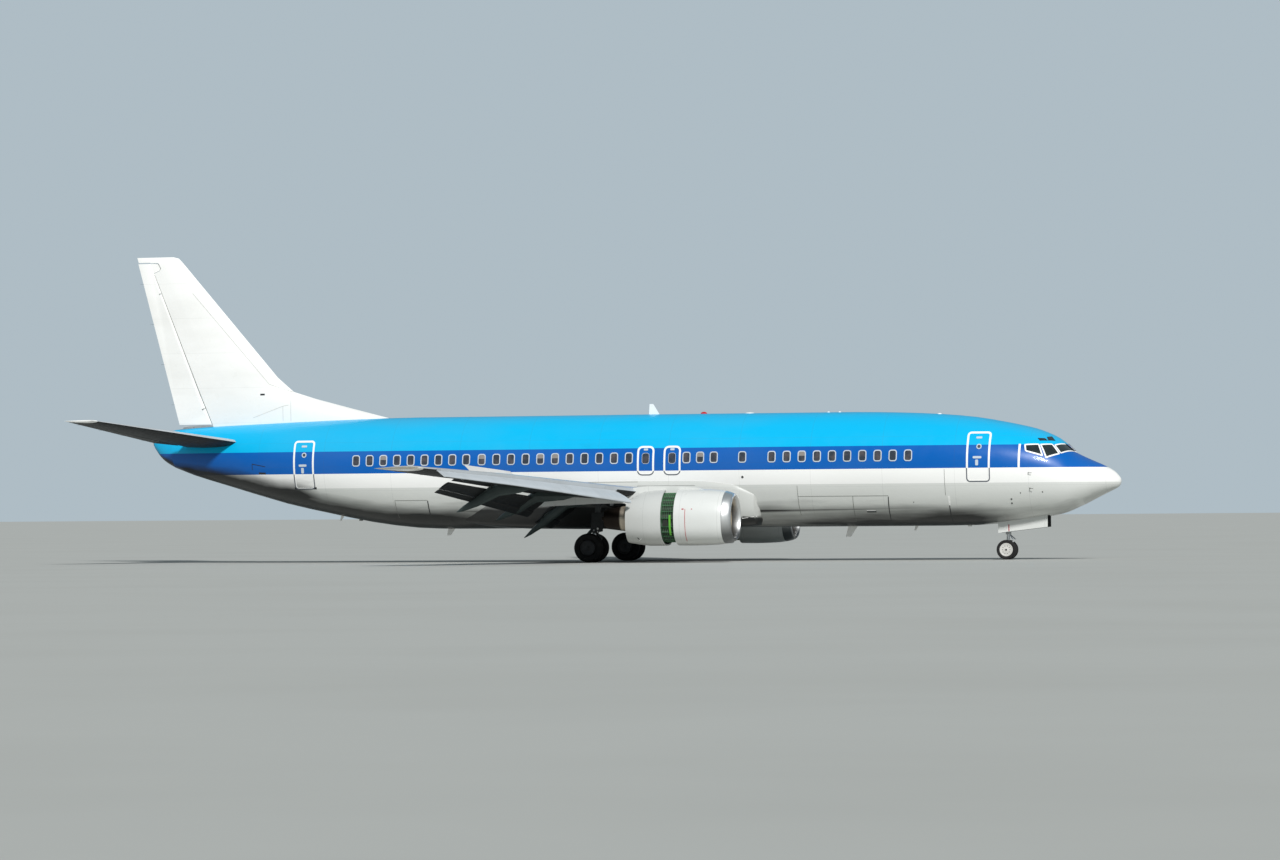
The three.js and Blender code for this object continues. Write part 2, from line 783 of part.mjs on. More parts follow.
function buildFlaps() {
  addPair("flap_outboard", outerFlap, MATERIALS.wing);
  addPair("flap_inboard", innerFlap, MATERIALS.wing);
}

// Tail
// Columns: z, leading edge x, trailing edge x, half thickness at the thickest point
const FIN = [
  [4780, -6700, -16105, 300],
  [5198, -8273, -16215, 290],
  [5549, -9618, -16308, 280],
  [5908, -10965, -16403, 270],
  [6175, -11809, -16473, 262],
  [6700, -12413, -16612, 240],
  [10903, -15998, -17722, 92],
  [11080, -16170, -17770, 60],
  [HEIGHT, -16366, -17784, 22],
];
const RUDDER = { bottom: 4995, top: 10905, tilt: -0.3941, x: -14968, z: 4987 };
const TIP_CAP_Z = 10945;
const rudderHingeX = (z) => RUDDER.x + (z - RUDDER.z) * RUDDER.tilt;

// Columns: x, z of the rudder's horn, ahead of its hinge at the top
const HORN = [
  [-17300, 10480],
  [-16899, 10660],
  [-16850, 10760],
  [-16960, RUDDER.top],
  [-17300, RUDDER.top],
];

function finRow(z) {
  const [, leading, trailing, half] = rowAt(FIN, z);
  const chord = leading - trailing;
  const ratio = half / chord / thicknessAt(0.3);
  return { leading, chord, ratio, z };
}

const finPlace = (row) => (along, out) => v(row.leading - along, out, row.z);

function finLoft() {
  const rings = FIN.map(([z]) => {
    const row = finRow(z);
    return foilRing(foilLoop(TRAILING), row.chord, row.ratio, finPlace(row));
  });
  return solid(loft(rings));
}

function finHalfAt(row, x) {
  return thicknessAt((row.leading - x) / row.chord) * row.ratio * row.chord;
}

// What is cut out of the fin for the rudder, from below the fuselage's roof to the tip cap.
function rudderBay() {
  const wide = 600;
  const ring = (z) => {
    const row = finRow(z);
    const hinge = rudderHingeX(z);
    const front = hinge + finHalfAt(row, hinge) + HINGE_GAP;
    const back = TAIL_X - 200;
    return [v(front, -wide, z), v(back, -wide, z), v(back, wide, z), v(front, wide, z)];
  };
  return solid(loft([ring(FIN[0][0] - 50), ring(TIP_CAP_Z)]));
}

// The horn as thick as the fin beside it, from its corners.
function hornSolid(grow = 0) {
  const slab = HORN.map(([x, z], i) => [x + (i ? grow : 0), z + (z < RUDDER.top ? -grow : grow)]);
  const low = finRow(HORN[0][1]);
  const half = finHalfAt(low, HORN[0][0]) * 0.86 + grow * 8;
  return plate(slab, -half, half);
}

function buildFin() {
  const hinge = [5600, 9800].map((z) => v(rudderHingeX(z), 0, z));
  const radii = hinge.map((p) => finHalfAt(finRow(p.z), p.x));
  const pins = brackets(hinge, radii, v(0, 1, 0), [0, 1]);
  const cuts = [wholeFuselage, rudderBay(), hornSolid(HINGE_GAP)];
  const fin = cuts.reduce((rest, one) => rest.subtract(one), finLoft());
  add("fin", biggest(joined(fin, pins.fixed)), MATERIALS.white);
  const rudderRings = [RUDDER.bottom + 40, RUDDER.top].map((z) => {
    const row = finRow(z);
    const hinge = (row.leading - rudderHingeX(z)) / row.chord;
    return foilRing(flapLoop(hinge), row.chord, row.ratio, finPlace(row));
  });
  const rudder = joined(solid(loft(rudderRings)), hornSolid()).subtract(wholeFuselage);
  add("rudder", biggest(rudder.subtract(pins.cut)), MATERIALS.white);
}

// Columns: y, leading edge x, trailing edge x, z of the chord, thickness ratio
const STABILISER = [
  [200, -13120, -16560, 4255, 0.11],
  [6200, -17020, -18190, 5075, 0.095],
  [TAIL_SPAN / 2, -17200, TAIL_X - 15.6, 5096, 0.04],
];
const ELEVATOR = { from: 1000, to: 6040, hinge: 0.72 };

function stabiliserRow(y) {
  const [, leading, trailing, z, ratio] = rowAt(STABILISER, y);
  return { y, leading, chord: leading - trailing, z, ratio };
}

function stabiliserCut(row) {
  const nose = thicknessAt(ELEVATOR.hinge) * row.ratio;
  return ELEVATOR.hinge - nose - HINGE_GAP / row.chord;
}

function buildTailplane() {
  const whole = foilLoft([200, 6200, TAIL_SPAN / 2], stabiliserRow, 6);
  const elevatorBay = bay(0, ELEVATOR.to + 35, stabiliserRow, stabiliserCut);
  const pins = foilBrackets(stabiliserRow, ELEVATOR, [0.2, 0.8]);
  const stabiliser = joined(whole.subtract(elevatorBay), pins.fixed).subtract(wholeFuselage);
  addPair("stabiliser", biggest(stabiliser), MATERIALS.wing);
  const elevator = [ELEVATOR.from, ELEVATOR.to].map((y) => {
    const row = stabiliserRow(y);
    return foilRing(flapLoop(ELEVATOR.hinge), row.chord, row.ratio, wingPlace(row));
  });
  addPair("elevator", solid(loft(elevator)).subtract(pins.cut), MATERIALS.wing);
}

// Engine nacelle, flat underneath for ground clearance
// Columns: x, half width, height above the axis, depth below the axis
const NACELLE = [
  [5640, 790, 775, 745],
  [5585, 870, 838, 805],
  [5400, 965, 905, 868],
  [5000, 1040, 965, 920],
  [4300, 1085, 1000, 945],
  [3690, 1080, 1000, 940],
  [3230, 1080, 1000, 945],
  [2640, 1030, 950, 945],
  [1940, 870, 815, 850],
];
const NACELLE_SIDES = 24;
const LIP_END_X = 5330;
const COWL_END_X = 3690;
const SLEEVE_START_X = 3230;
const SLEEVE_END_X = 1940;
const DUCT_RADIUS = 772;
const FLATNESS = 2.6; // exponent of the lower half's rounded outline
const PYLON_HALF = 170;

function nacelleRing(row, x, inset = 0) {
  const [, half, top, bottom] = row;
  return Array.from({ length: NACELLE_SIDES }, (_, i) => {
    const angle = (2 * Math.PI * i) / NACELLE_SIDES;
    const [c, s] = [Math.cos(angle), Math.sin(angle)];
    const power = s < 0 ? 2 / FLATNESS : 1;
    const across = Math.sign(c) * Math.abs(c) ** power * (half - inset);
    const up = Math.sign(s) * Math.abs(s) ** power * ((s < 0 ? bottom : top) - inset);
    return v(x, ENGINE_Y + across, ENGINE_Z + up);
  });
}

function nacelleBetween(front, back, inset = 0) {
  const inside = NACELLE.filter(([x]) => x < front && x > back);
  const rows = [rowAt(NACELLE, front), ...inside, rowAt(NACELLE, back)];
  return solid(loft(rows.map((row) => nacelleRing(row, row[0], inset))));
}

function onEngineAxis(geometry) {
  return solid(geometry.translate(0, ENGINE_Y, ENGINE_Z));
}

function ductSolid(points, sides = NACELLE_SIDES) {
  return onEngineAxis(engineTurned(points, sides));
}

// Columns: radius, x of the air inlet's inner wall
const INLET = [
  [0, 5700],
  [775, 5700],
  [752, 5640],
  [722, 5560],
  [716, 5420],
  [735, LIP_END_X],
  [0, LIP_END_X],
];
const BEHIND_LIP = [
  [0, LIP_END_X + 1],
  [735, LIP_END_X + 1],
  [DUCT_RADIUS, 4950],
  [DUCT_RADIUS, COWL_END_X - 10],
  [0, COWL_END_X - 10],
];
// The slot for the pylon: wide in the cascades, close in the sleeve that runs on its sides.
const pylonSlot = (gap) =>
  box(
    [1000, COWL_END_X],
    [ENGINE_Y - PYLON_HALF - gap, ENGINE_Y + PYLON_HALF + gap],
    [ENGINE_Z + 300, 3000],
  );
const CASCADE = { back: 3090, inset: 110, deep: 60 };

function cascadeRing() {
  const { back, inset, deep } = CASCADE;
  const front = COWL_END_X - SEAT;
  const ring = nacelleBetween(front, back, inset);
  const inside = nacelleBetween(front + 1, back - 1, inset + deep);
  return ring.subtract(inside).subtract(pylonSlot(SEAT));
}

// What is cut from the top of the sleeve so that it can slide under the wing
// Columns: x, z
const UNDER_WING_INBOARD = [
  [1800, 2050],
  [1800, 3200],
  [2640, 3200],
  [2640, 2250],
  [2560, 2180],
  [2200, 2090],
];
const UNDER_WING_OUTBOARD = [
  [1800, 2140],
  [1800, 3200],
  [2280, 3200],
  [2280, 2330],
  [2150, 2220],
];

const NOZZLE = { front: 2320, wall: 45, frontRadius: 800, radius: 770 };

// The sliding part of the reverser, cut away on top for the pylon and the wing above it.
function sleeveSolid() {
  const shell = nacelleBetween(SLEEVE_START_X, SLEEVE_END_X);
  const pocket = nacelleBetween(SLEEVE_START_X + 1, NOZZLE.front, NOZZLE.wall);
  const nozzle = ductSolid([
    [0, NOZZLE.front + 1],
    [NOZZLE.frontRadius, NOZZLE.front + 1],
    [NOZZLE.radius, SLEEVE_END_X - 1],
    [0, SLEEVE_END_X - 1],
  ]);
  const inboard = plate(UNDER_WING_INBOARD, ENGINE_Y - 1400, ENGINE_Y);
  const outboard = plate(UNDER_WING_OUTBOARD, ENGINE_Y - 1, ENGINE_Y + 1400);
  const sleeve = shell.subtract(pocket).subtract(nozzle).subtract(pylonSlot(RUN));
  return biggest(sleeve.subtract(inboard).subtract(outboard));
}

// Columns: radius, x of the core's outside, with its nozzle and plug at the back
const CORE = [
  [0, 4480],
  [330, 4480],
  [400, 4200],
  [480, 3300],
  [500, 2500],
  [440, 1750],
  [350, 1050],
  [325, 1050],
  [345, 1400],
  [230, 1400],
  [60, 900],
  [0, 880],
];
const FRAME = { x: [3950, 4150], half: 35, struts: 6 };

// The fan frame's struts, which reach from the core out to the cowl.
function coreSolid() {
  const { x, half, struts } = FRAME;
  const arms = Array.from({ length: struts }, (_, i) =>
    box(x, [-half, half], [300, 2 * DUCT_RADIUS])
      .rotate([(360 * i) / struts, 0, 0])
      .translate([0, ENGINE_Y, ENGINE_Z]),
  );
  const duct = ductSolid([
    [0, x[1] + 1],
    [DUCT_RADIUS - SEAT, x[1] + 1],
    [DUCT_RADIUS - SEAT, x[0] - 1],
    [0, x[0] - 1],
  ]);
  return joined(ductSolid(CORE, 16), joined(...arms).intersect(duct));
}

const SPINNER = [
  [0, 5080],
  [70, 5030],
  [250, 4740],
  [265, 4700],
  [265, 4520],
  [200, 4480 + RUN],
  [0, 4480 + RUN],
];
const FAN = {
  blades: 38,
  root: 272,
  tip: 752,
  front: 4735,
  back: 4545,
  twist: 0.4,
  tipShare: 0.12,
};

// All the blades as one star, whose back face is turned against its front, so each one twists.
function fanBlades() {
  const { blades, root, tip, front, back, twist, tipShare } = FAN;
  const pitch = (2 * Math.PI) / blades;
  // Columns: radius, share of the pitch from the middle of the blade
  const outline = [
    [root, -0.5],
    [tip, -tipShare],
    [tip, tipShare],
  ];
  const ring = (x, turn) =>
    Array.from({ length: blades }, (_, i) =>
      outline.map(([radius, share]) => {
        const angle = (i + share) * pitch + turn;
        return v(x, radius * Math.cos(angle), radius * Math.sin(angle));
      }),
    ).flat();
  // Both faces of a blade are split from the root in front to the tip behind.
  const trailingSide = (j) => j % outline.length === outline.length - 1;
  return onEngineAxis(loft([ring(front, 0), ring(back, twist)], trailingSide));
}

function buildEngine() {
  const inlet = ductSolid(INLET);
  addPair("inlet_lip", nacelleBetween(5640, LIP_END_X).subtract(inlet), MATERIALS.metal);
  const cowl = nacelleBetween(LIP_END_X - SEAT, COWL_END_X).subtract(ductSolid(BEHIND_LIP));
  addPair("fan_cowl", cowl, MATERIALS.white);
  addPair("reverser_cascades", cascadeRing(), MATERIALS.cascade);
  addPair("reverser_sleeve", sleeveSolid(), MATERIALS.white);
  addPair("engine_core", coreSolid(), MATERIALS.dark);
  addPair("fan", joined(ductSolid(SPINNER, 12), fanBlades()), MATERIALS.dark);
}

// The pylon's outline from the side, from its nose on the cowl to its tail behind the wing
const PYLON = [
  [4700, 2470],
  [4300, 2575],
  [3700, 2620],
  [2600, 2640],
  [2150, 2590],
  [1500, 2450],
  [-900, 2420],
  [-1900, 2180],
  [-1150, 1960],
  [600, 2040],
  [1750, 2050],
  [1900, 1960],
  [3680, 1960],
  [3700, 2300],
];

function buildPylon() {
  const slab = plate(PYLON, ENGINE_Y - PYLON_HALF, ENGINE_Y + PYLON_HALF);
  const cowl = nacelleBetween(NACELLE[0][0], COWL_END_X - 1, -SEAT);
  const cut = [...leftParts, coreSolid()].reduce(
    (rest, other) => cutBy(rest, other, ...CLOSE),
    slab.subtract(cowl),
  );
  addPair("pylon", biggest(cut), MATERIALS.wing);
}

// Landing gear
const MAIN_WHEEL = { radius: 508, half: 184, rim: 240, spacing: 390, sides: 20, axle: 60 };
const NOSE_WHEEL = { radius: 343, half: 98, rim: 190, spacing: 200, sides: 20, axle: 42 };

// Columns: share of the way from rim to tread, share of the half width
const TYRE_SHAPE = [
  [0, 0.8],
  [0.4, 1],
  [0.85, 0.9],
  [1, 0.5],
];

function tyre({ radius, half, rim, sides }) {
  const inner = rim + SEAT;
  const outer = radius / Math.cos(Math.PI / sides);
  const side = TYRE_SHAPE.map(([up, out]) => [mix(inner, outer, up), out * half]);
  const other = side.map(([r, a]) => [r, -a]).reverse();
  return wheelTurned([...side, ...other, side[0]], sides);
}

// A wheel with a dished outer face, its hub cap to the outside.
function rim({ half, rim: radius, sides }) {
  const deep = half * 0.55;
  const out = half * 0.8;
  const profile = [
    [0, -deep],
    [radius, -deep],
    [radius, out],
    [radius * 0.86, out],
    [radius * 0.72, out * 0.45],
    [radius * 0.36, out * 0.45],
    [radius * 0.3, out * 1.05],
    [0, out * 1.05],
  ];
  return wheelTurned(profile, sides);
}

// Two tyres, and the two wheels on the axle that turns with them.
function addWheelPair(name, ending, size, x, y) {
  const at = (geometry, side) =>
    turnedOut(geometry.scale(1, side, 1)).translate(x, y + side * size.spacing, size.radius);
  const mirrored = ending === "_right" ? -1 : 1;
  for (const [place, side] of [
    ["outer", 1],
    ["inner", -1],
  ])
    add(`${name}_tyre_${place}${ending}`, at(tyre(size), side), MATERIALS.rubber, mirrored);
  const wheels = [1, -1].map((side) => solid(at(rim(size), side)));
  const axle = rod(
    v(x, y - size.spacing, size.radius),
    v(x, y + size.spacing, size.radius),
    size.axle,
  );
  add(`${name}_wheels${ending}`, joined(...wheels, axle), MATERIALS.gear, mirrored);
}

const hubFace = (size) => size.spacing - size.half * 0.55 - RUN;

// The barrel and brakes round the axle, and the bore that the axle turns in.
function axleHousing(size, foot, barrel, brake) {
  const reach = hubFace(size);
  const across = (from, to, radius, sides) =>
    rod(v(foot.x, foot.y + from, foot.z), v(foot.x, foot.y + to, foot.z), radius, sides);
  return {
    outside: joined(
      across(-reach, reach, barrel, 12),
      across(-reach, -reach * 0.62, brake, 12),
      across(reach * 0.62, reach, brake, 12),
    ),
    bore: across(-reach - 1, reach + 1, (size.axle + RUN) / Math.cos(Math.PI / 10), 10),
  };
}

// The main leg's points: its foot is the axle, and its head turns in the wing's bay
const MAIN_LEG = {
  top: v(200, 2560, 2080),
  knee: v(75, 2590, 1000),
  link: v(330, 2600, 820),
  brace: v(190, 1700, 1800),
};
// Columns: x, z of the panel that is fixed to the outboard side of the main leg
const LEG_PANEL = [
  [-60, 1100],
  [-10, 1740],
  [430, 1740],
  [380, 1080],
  [170, 1040],
];
const PANEL_Y = [2712, 2736];

function buildMainGear() {
  for (const ending of ["_left", "_right"])
    addWheelPair("main", ending, MAIN_WHEEL, MAIN_GEAR_X, MAIN_GEAR_Y);
  const { top, knee, link, brace } = MAIN_LEG;
  const foot = v(MAIN_GEAR_X, MAIN_GEAR_Y, MAIN_WHEEL.radius);
  const { outside, bore } = axleHousing(MAIN_WHEEL, foot, 95, 160);
  const [bayBack, bayFront] = LEG_BAY.x;
  const trunnion = rod(v(bayBack + RUN, top.y, top.z), v(bayFront - RUN, top.y, top.z), 85);
  const leg = joined(
    outside,
    rod(foot, knee, 72),
    rod(knee, top, 105),
    trunnion,
    rod(mixed(knee, foot, -0.1), link, 30, 6),
    rod(mixed(knee, foot, 0.8), link, 30, 6),
    rod(mixed(knee, top, 0.2), brace, 48, 8),
    plate(LEG_PANEL, ...PANEL_Y),
    rod(v(110, 2600, 1250), v(110, PANEL_Y[0] + 1, 1250), 30, 8),
  );
  const clear = leg.subtract(bore).subtract(fairingOutside).subtract(wing);
  addPair("main_gear_leg", biggest(clear), MATERIALS.gear);
}

const STEER = { x: NOSE_GEAR_X + 40, bottom: 935 };
const NOSE_LINK = v(STEER.x + 250, 0, 700);

// The lower part of the nose leg, which steers: its axle barrel, piston, collar and links.
function buildNoseFork() {
  const foot = v(NOSE_GEAR_X, 0, NOSE_WHEEL.radius);
  const { outside, bore } = axleHousing(NOSE_WHEEL, foot, 66, 66);
  const fork = joined(
    outside,
    rod(foot, v(STEER.x, 0, 560), 55),
    rod(v(STEER.x, 0, 540), v(STEER.x, 0, STEER.bottom - RUN), 52),
    rod(v(STEER.x, 0, STEER.bottom - 60), v(STEER.x, 0, STEER.bottom - RUN), 100, 12),
    rod(v(STEER.x + 40, 0, 880), NOSE_LINK, 24, 6),
    rod(v(STEER.x - 10, 0, 480), NOSE_LINK, 24, 6),
  );
  add("nose_gear_fork", fork.subtract(bore), MATERIALS.gear);
}

const NOSE_DRAG = { x: 15150, down: 130 };

function buildNoseLeg() {
  const wall = NOSE_BAY.y[1] - RUN;
  const dragZ = NOSE_BAY.z[1] - NOSE_DRAG.down;
  const leg = joined(
    rod(v(STEER.x, 0, STEER.bottom), v(STEER.x, 0, 1100), 100, 12),
    rod(v(STEER.x, 0, 1050), v(STEER.x, 0, 1800), 78),
    rod(v(STEER.x, -wall, 1780), v(STEER.x, wall, 1780), 70),
    rod(v(STEER.x + 30, 0, 1180), v(NOSE_DRAG.x, 0, dragZ), 40, 10),
    rod(v(NOSE_DRAG.x, -wall, dragZ), v(NOSE_DRAG.x, wall, dragZ), 45, 10),
  );
  add("nose_gear_leg", leg, MATERIALS.gear);
}

// Nose gear doors: two panels in one line, hinged at the bay's edge and hanging open
// Columns: x and z of the corners of the front panel, then of the small rear one
const NOSE_DOOR_Y = [345, 372];
const FRONT_DOOR = [
  [14215, 960],
  [15700, 1130],
  [15700, 1560],
  [14215, 1400],
];
const REAR_DOOR = [
  [13960, 930],
  [14216, 957],
  [14216, 1400],
  [13960, 1370],
];

function buildNoseDoors() {
  const hull = fuselageBetween(RADOME_X, CONE_X);
  const door = joined(plate(FRONT_DOOR, ...NOSE_DOOR_Y), plate(REAR_DOOR, ...NOSE_DOOR_Y));
  addPair("nose_gear_door", biggest(cutBy(door, hull, [0, 0, -SEAT])), MATERIALS.grey);
}

// The blade aerial on the roof
// Columns: x, z
const AERIAL = [
  [1820, 5140],
  [1560, 5570],
  [1425, 5570],
  [1400, 5140],
];

function buildAerial() {
  const blade = plate(AERIAL, -13, 13).subtract(wholeFuselage);
  add("roof_aerial", biggest(blade), MATERIALS.white);
}

buildFuselage();
buildFairing();
buildWing();
buildSlats();
buildFlaps();
buildFin();
buildTailplane();
buildEngine();
buildPylon();
buildMainGear();
buildNoseFork();
addWheelPair("nose", "", NOSE_WHEEL, NOSE_GEAR_X, 0);
buildNoseLeg();
buildNoseDoors();
buildAerial();

export default airliner;
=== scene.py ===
"""Looks of a narrow-body airliner on its landing gear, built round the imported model.

The frame has its origin on the ground under the middle of the aircraft, +X to the nose,
+Y to the left wing and +Z up, in metres."""
import json
import math

import bpy
from mathutils import Matrix, Quaternion, Vector

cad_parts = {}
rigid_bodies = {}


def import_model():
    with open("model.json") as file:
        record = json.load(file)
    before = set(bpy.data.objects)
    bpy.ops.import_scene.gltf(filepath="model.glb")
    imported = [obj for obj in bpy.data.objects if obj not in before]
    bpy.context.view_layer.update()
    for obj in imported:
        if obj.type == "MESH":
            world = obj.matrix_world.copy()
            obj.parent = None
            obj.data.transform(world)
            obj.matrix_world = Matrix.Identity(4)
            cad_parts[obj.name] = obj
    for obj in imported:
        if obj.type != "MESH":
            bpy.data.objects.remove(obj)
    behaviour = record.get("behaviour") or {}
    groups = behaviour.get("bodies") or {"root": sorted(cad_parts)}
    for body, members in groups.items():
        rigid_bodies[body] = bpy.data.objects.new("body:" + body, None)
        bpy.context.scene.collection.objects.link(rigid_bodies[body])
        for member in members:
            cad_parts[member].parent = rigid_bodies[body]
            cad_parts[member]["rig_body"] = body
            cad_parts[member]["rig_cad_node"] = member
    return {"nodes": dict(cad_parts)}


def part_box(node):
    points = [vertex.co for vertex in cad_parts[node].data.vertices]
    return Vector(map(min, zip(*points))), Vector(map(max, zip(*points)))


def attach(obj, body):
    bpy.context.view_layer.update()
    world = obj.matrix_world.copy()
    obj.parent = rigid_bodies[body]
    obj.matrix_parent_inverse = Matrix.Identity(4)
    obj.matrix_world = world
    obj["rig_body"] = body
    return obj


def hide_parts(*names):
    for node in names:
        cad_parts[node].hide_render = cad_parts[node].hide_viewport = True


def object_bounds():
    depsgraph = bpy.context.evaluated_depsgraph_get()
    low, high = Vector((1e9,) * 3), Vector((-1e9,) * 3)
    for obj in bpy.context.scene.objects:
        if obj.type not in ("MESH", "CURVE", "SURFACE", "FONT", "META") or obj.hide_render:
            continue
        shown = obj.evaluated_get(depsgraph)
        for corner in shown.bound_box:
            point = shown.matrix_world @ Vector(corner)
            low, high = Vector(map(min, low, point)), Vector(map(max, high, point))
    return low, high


bl_info = {
    "name": "Narrow-body airliner",
    "version": (1, 0, 0),
    "blender": (4, 5, 0),
    "location": "3D View > Sidebar > Airliner",
    "description": "Finishes a narrow-body airliner: paint, windows, doors, engines, gear and fittings",
    "category": "Object",
}

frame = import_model()
FRAME_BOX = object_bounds()
SIDES = (("right", -1), ("left", 1))
HALF_SPAN = FRAME_BOX[1][1]
ENGINE = Vector((0, 4.83, 1.53))
SLOT_HALF = 0.1705  # half the width of the slot in which a reverser sleeve runs along its pylon


def linear(code):
    """An sRGB hex colour as the linear values that a material takes."""
    parts = [int(code[i : i + 2], 16) / 255 for i in (1, 3, 5)]
    return [c / 12.92 if c <= 0.04045 else ((c + 0.055) / 1.055) ** 2.4 for c in parts] + [1.0]


def length(name, description, default):
    """A property for a length in metres."""
    return bpy.props.FloatProperty(
        name=name, description=description, default=default, unit="LENGTH", subtype="DISTANCE"
    )


def colour(name, description, default):
    """A property for a paint colour, given as sRGB hex."""
    return bpy.props.FloatVectorProperty(
        name=name, description=description, default=linear(default), size=4, min=0, max=1, subtype="COLOR"
    )


class AirlinerPaint(bpy.types.PropertyGroup):
    """Colours of the aircraft's paint, and the heights where its stripes meet."""

    light_blue: colour("Light blue", "Paint on the crown of the fuselage", "#00B4E6")
    dark_blue: colour("Dark blue", "Stripe along the cabin windows", "#005EB2")
    white: colour("White", "Stripe below the windows, and the fin", "#FAF9F5")
    grey: colour("Grey", "Belly of the fuselage", "#DEDFDA")
    fairing: colour("Fairing", "Fairing between wing and fuselage", "#C6C7C2")
    wing_grey: colour("Wing grey", "Upper face of the wings", "#B4B9BC")
    nacelle: colour("Nacelle", "Engine cowls", "#DCDDD9")
    crown_height: length("Crown height", "Where light blue meets dark blue", 3.98)
    stripe_height: length("Stripe height", "Where dark blue meets white", 3.18)
    belly_height: length("Belly height", "Where white meets grey", 2.65)


class AirlinerCabin(bpy.types.PropertyGroup):
    """Sizes of the windows, doors and exits."""

    window_height: length("Window height", "Cabin window, over its frame", 0.40)
    window_width: length("Window width", "Cabin window, over its frame", 0.29)
    window_frame: length("Window frame", "Width of the frame round a cabin window", 0.035)
    window_level: length("Window level", "Height of the windows' middle", 3.64)
    outline: length("Outline", "Width of the painted band round a door", 0.068)


class AirlinerStage(bpy.types.PropertyGroup):
    """Floor, light and camera."""

    floor: colour("Floor", "Colour of the floor", "#B6B7B2")
    backdrop: colour("Backdrop", "Colour of the air behind the aircraft", "#BCCBD4")
    fill: bpy.props.FloatProperty(name="Fill", description="Strength of the soft light", default=0.42, min=0)
    key: bpy.props.FloatProperty(name="Key", description="Strength of the main light", default=3.3, min=0)
    lens: bpy.props.FloatProperty(name="Lens", description="Focal length of the camera in mm", default=138.0)
    distance: length("Distance", "Across the ground from the camera to the aircraft", 174.0)
    eye: length("Eye height", "Height of the camera above the ground", 1.8)


# Materials

# Near black, mixed in as painted shade under the belly and broken up by streaks of dirt
SHADE_AND_DIRT_TONE = linear("#0D0E0F")
STRIPE_SPAN = 6.0  # the stripes' colour ramp runs from the ground to this height
ALONG = (0.3, 1, 1)  # dirt is drawn out along the aircraft, as the air draws it
MIX = {"out": 2, "data_type": "RGBA"}  # for a Mix node that mixes colours


def plug(material, socket, value):
    """Joins an input to another node's output, or sets it to a constant."""
    if isinstance(value, bpy.types.NodeSocket):
        material.node_tree.links.new(value, socket)
    else:
        socket.default_value = value


def add(material, kind, inputs=(), out=0, **settings):
    """Adds one node to a material, with its settings and inputs, and gives one of its outputs."""
    node = material.node_tree.nodes.new("ShaderNode" + kind)
    for key, value in settings.items():
        setattr(node, key, value)
    for socket, value in inputs.items() if isinstance(inputs, dict) else enumerate(inputs):
        plug(material, node.inputs[socket], value)
    return node.outputs[out]


def blank(name, roughness, metallic=0.0, coat=0.0, specular=0.5):
    """A new material with only its shader, whose constant values are set on the shader itself."""
    material = bpy.data.materials.new(name)
    material.use_nodes = True
    shader = shader_of(material)
    shader.inputs["Roughness"].default_value = roughness
    shader.inputs["Metallic"].default_value = metallic
    shader.inputs["Coat Weight"].default_value = coat
    shader.inputs["Specular IOR Level"].default_value = specular
    return material


def shader_of(material):
    return material.node_tree.nodes["Principled BSDF"]


def place_in(material, stretch=(1, 1, 1), turn=(0, 0, 0)):
    """The place on the aircraft in metres, with a pattern stretched or turned where asked."""
    where = add(material, "TexCoord", out="Object")
    if stretch == (1, 1, 1) and turn == (0, 0, 0):
        return where
    return add(material, "Mapping", {"Vector": where, "Scale": stretch, "Rotation": turn})


def axes_of(material, turn=(0, 0, 0)):
    """The place along, across and up, each on its own."""
    return add(material, "SeparateXYZ", (place_in(material, turn=turn),)).node.outputs


def seam_mask(material, along, pitch, width):
    """One where a seam runs, each pitch metres along, and zero between."""
    wave = add(material, "Math", (along, pitch / 2), operation="PINGPONG")
    return add(material, "Math", (wave, width / 2), operation="LESS_THAN")


def soiled(material, base, soil, share, size, stretch=(1, 1, 1)):
    """A colour with soft patches of dirt of about size metres, drawn out along the air's flow."""
    inputs = {"Vector": place_in(material, stretch), "Scale": 1 / size, "Detail": 5.0}
    patches = add(material, "TexNoise", inputs)
    shade_and_dirt = add(material, "MapRange", (patches, 0.42, 0.75, 0.0, share))
    return add(material, "Mix", {0: shade_and_dirt, 6: base, 7: linear(soil)}, **MIX)


def finished(material, colour, size, depth, gloss):
    """Gives the shader a colour, and an unevenness of that size and depth that also varies the gloss."""
    fine = add(material, "TexNoise", {"Vector": place_in(material), "Scale": 1 / size, "Detail": 3.0})
    inputs = {
        "Base Color": colour,
        "Normal": add(material, "Bump", {"Height": fine, "Distance": depth, "Strength": 1.0}),
        "Roughness": add(material, "MapRange", (fine, 0.3, 0.7, *gloss)),
    }
    for socket, value in inputs.items():
        plug(material, shader_of(material).inputs[socket], value)
    return material


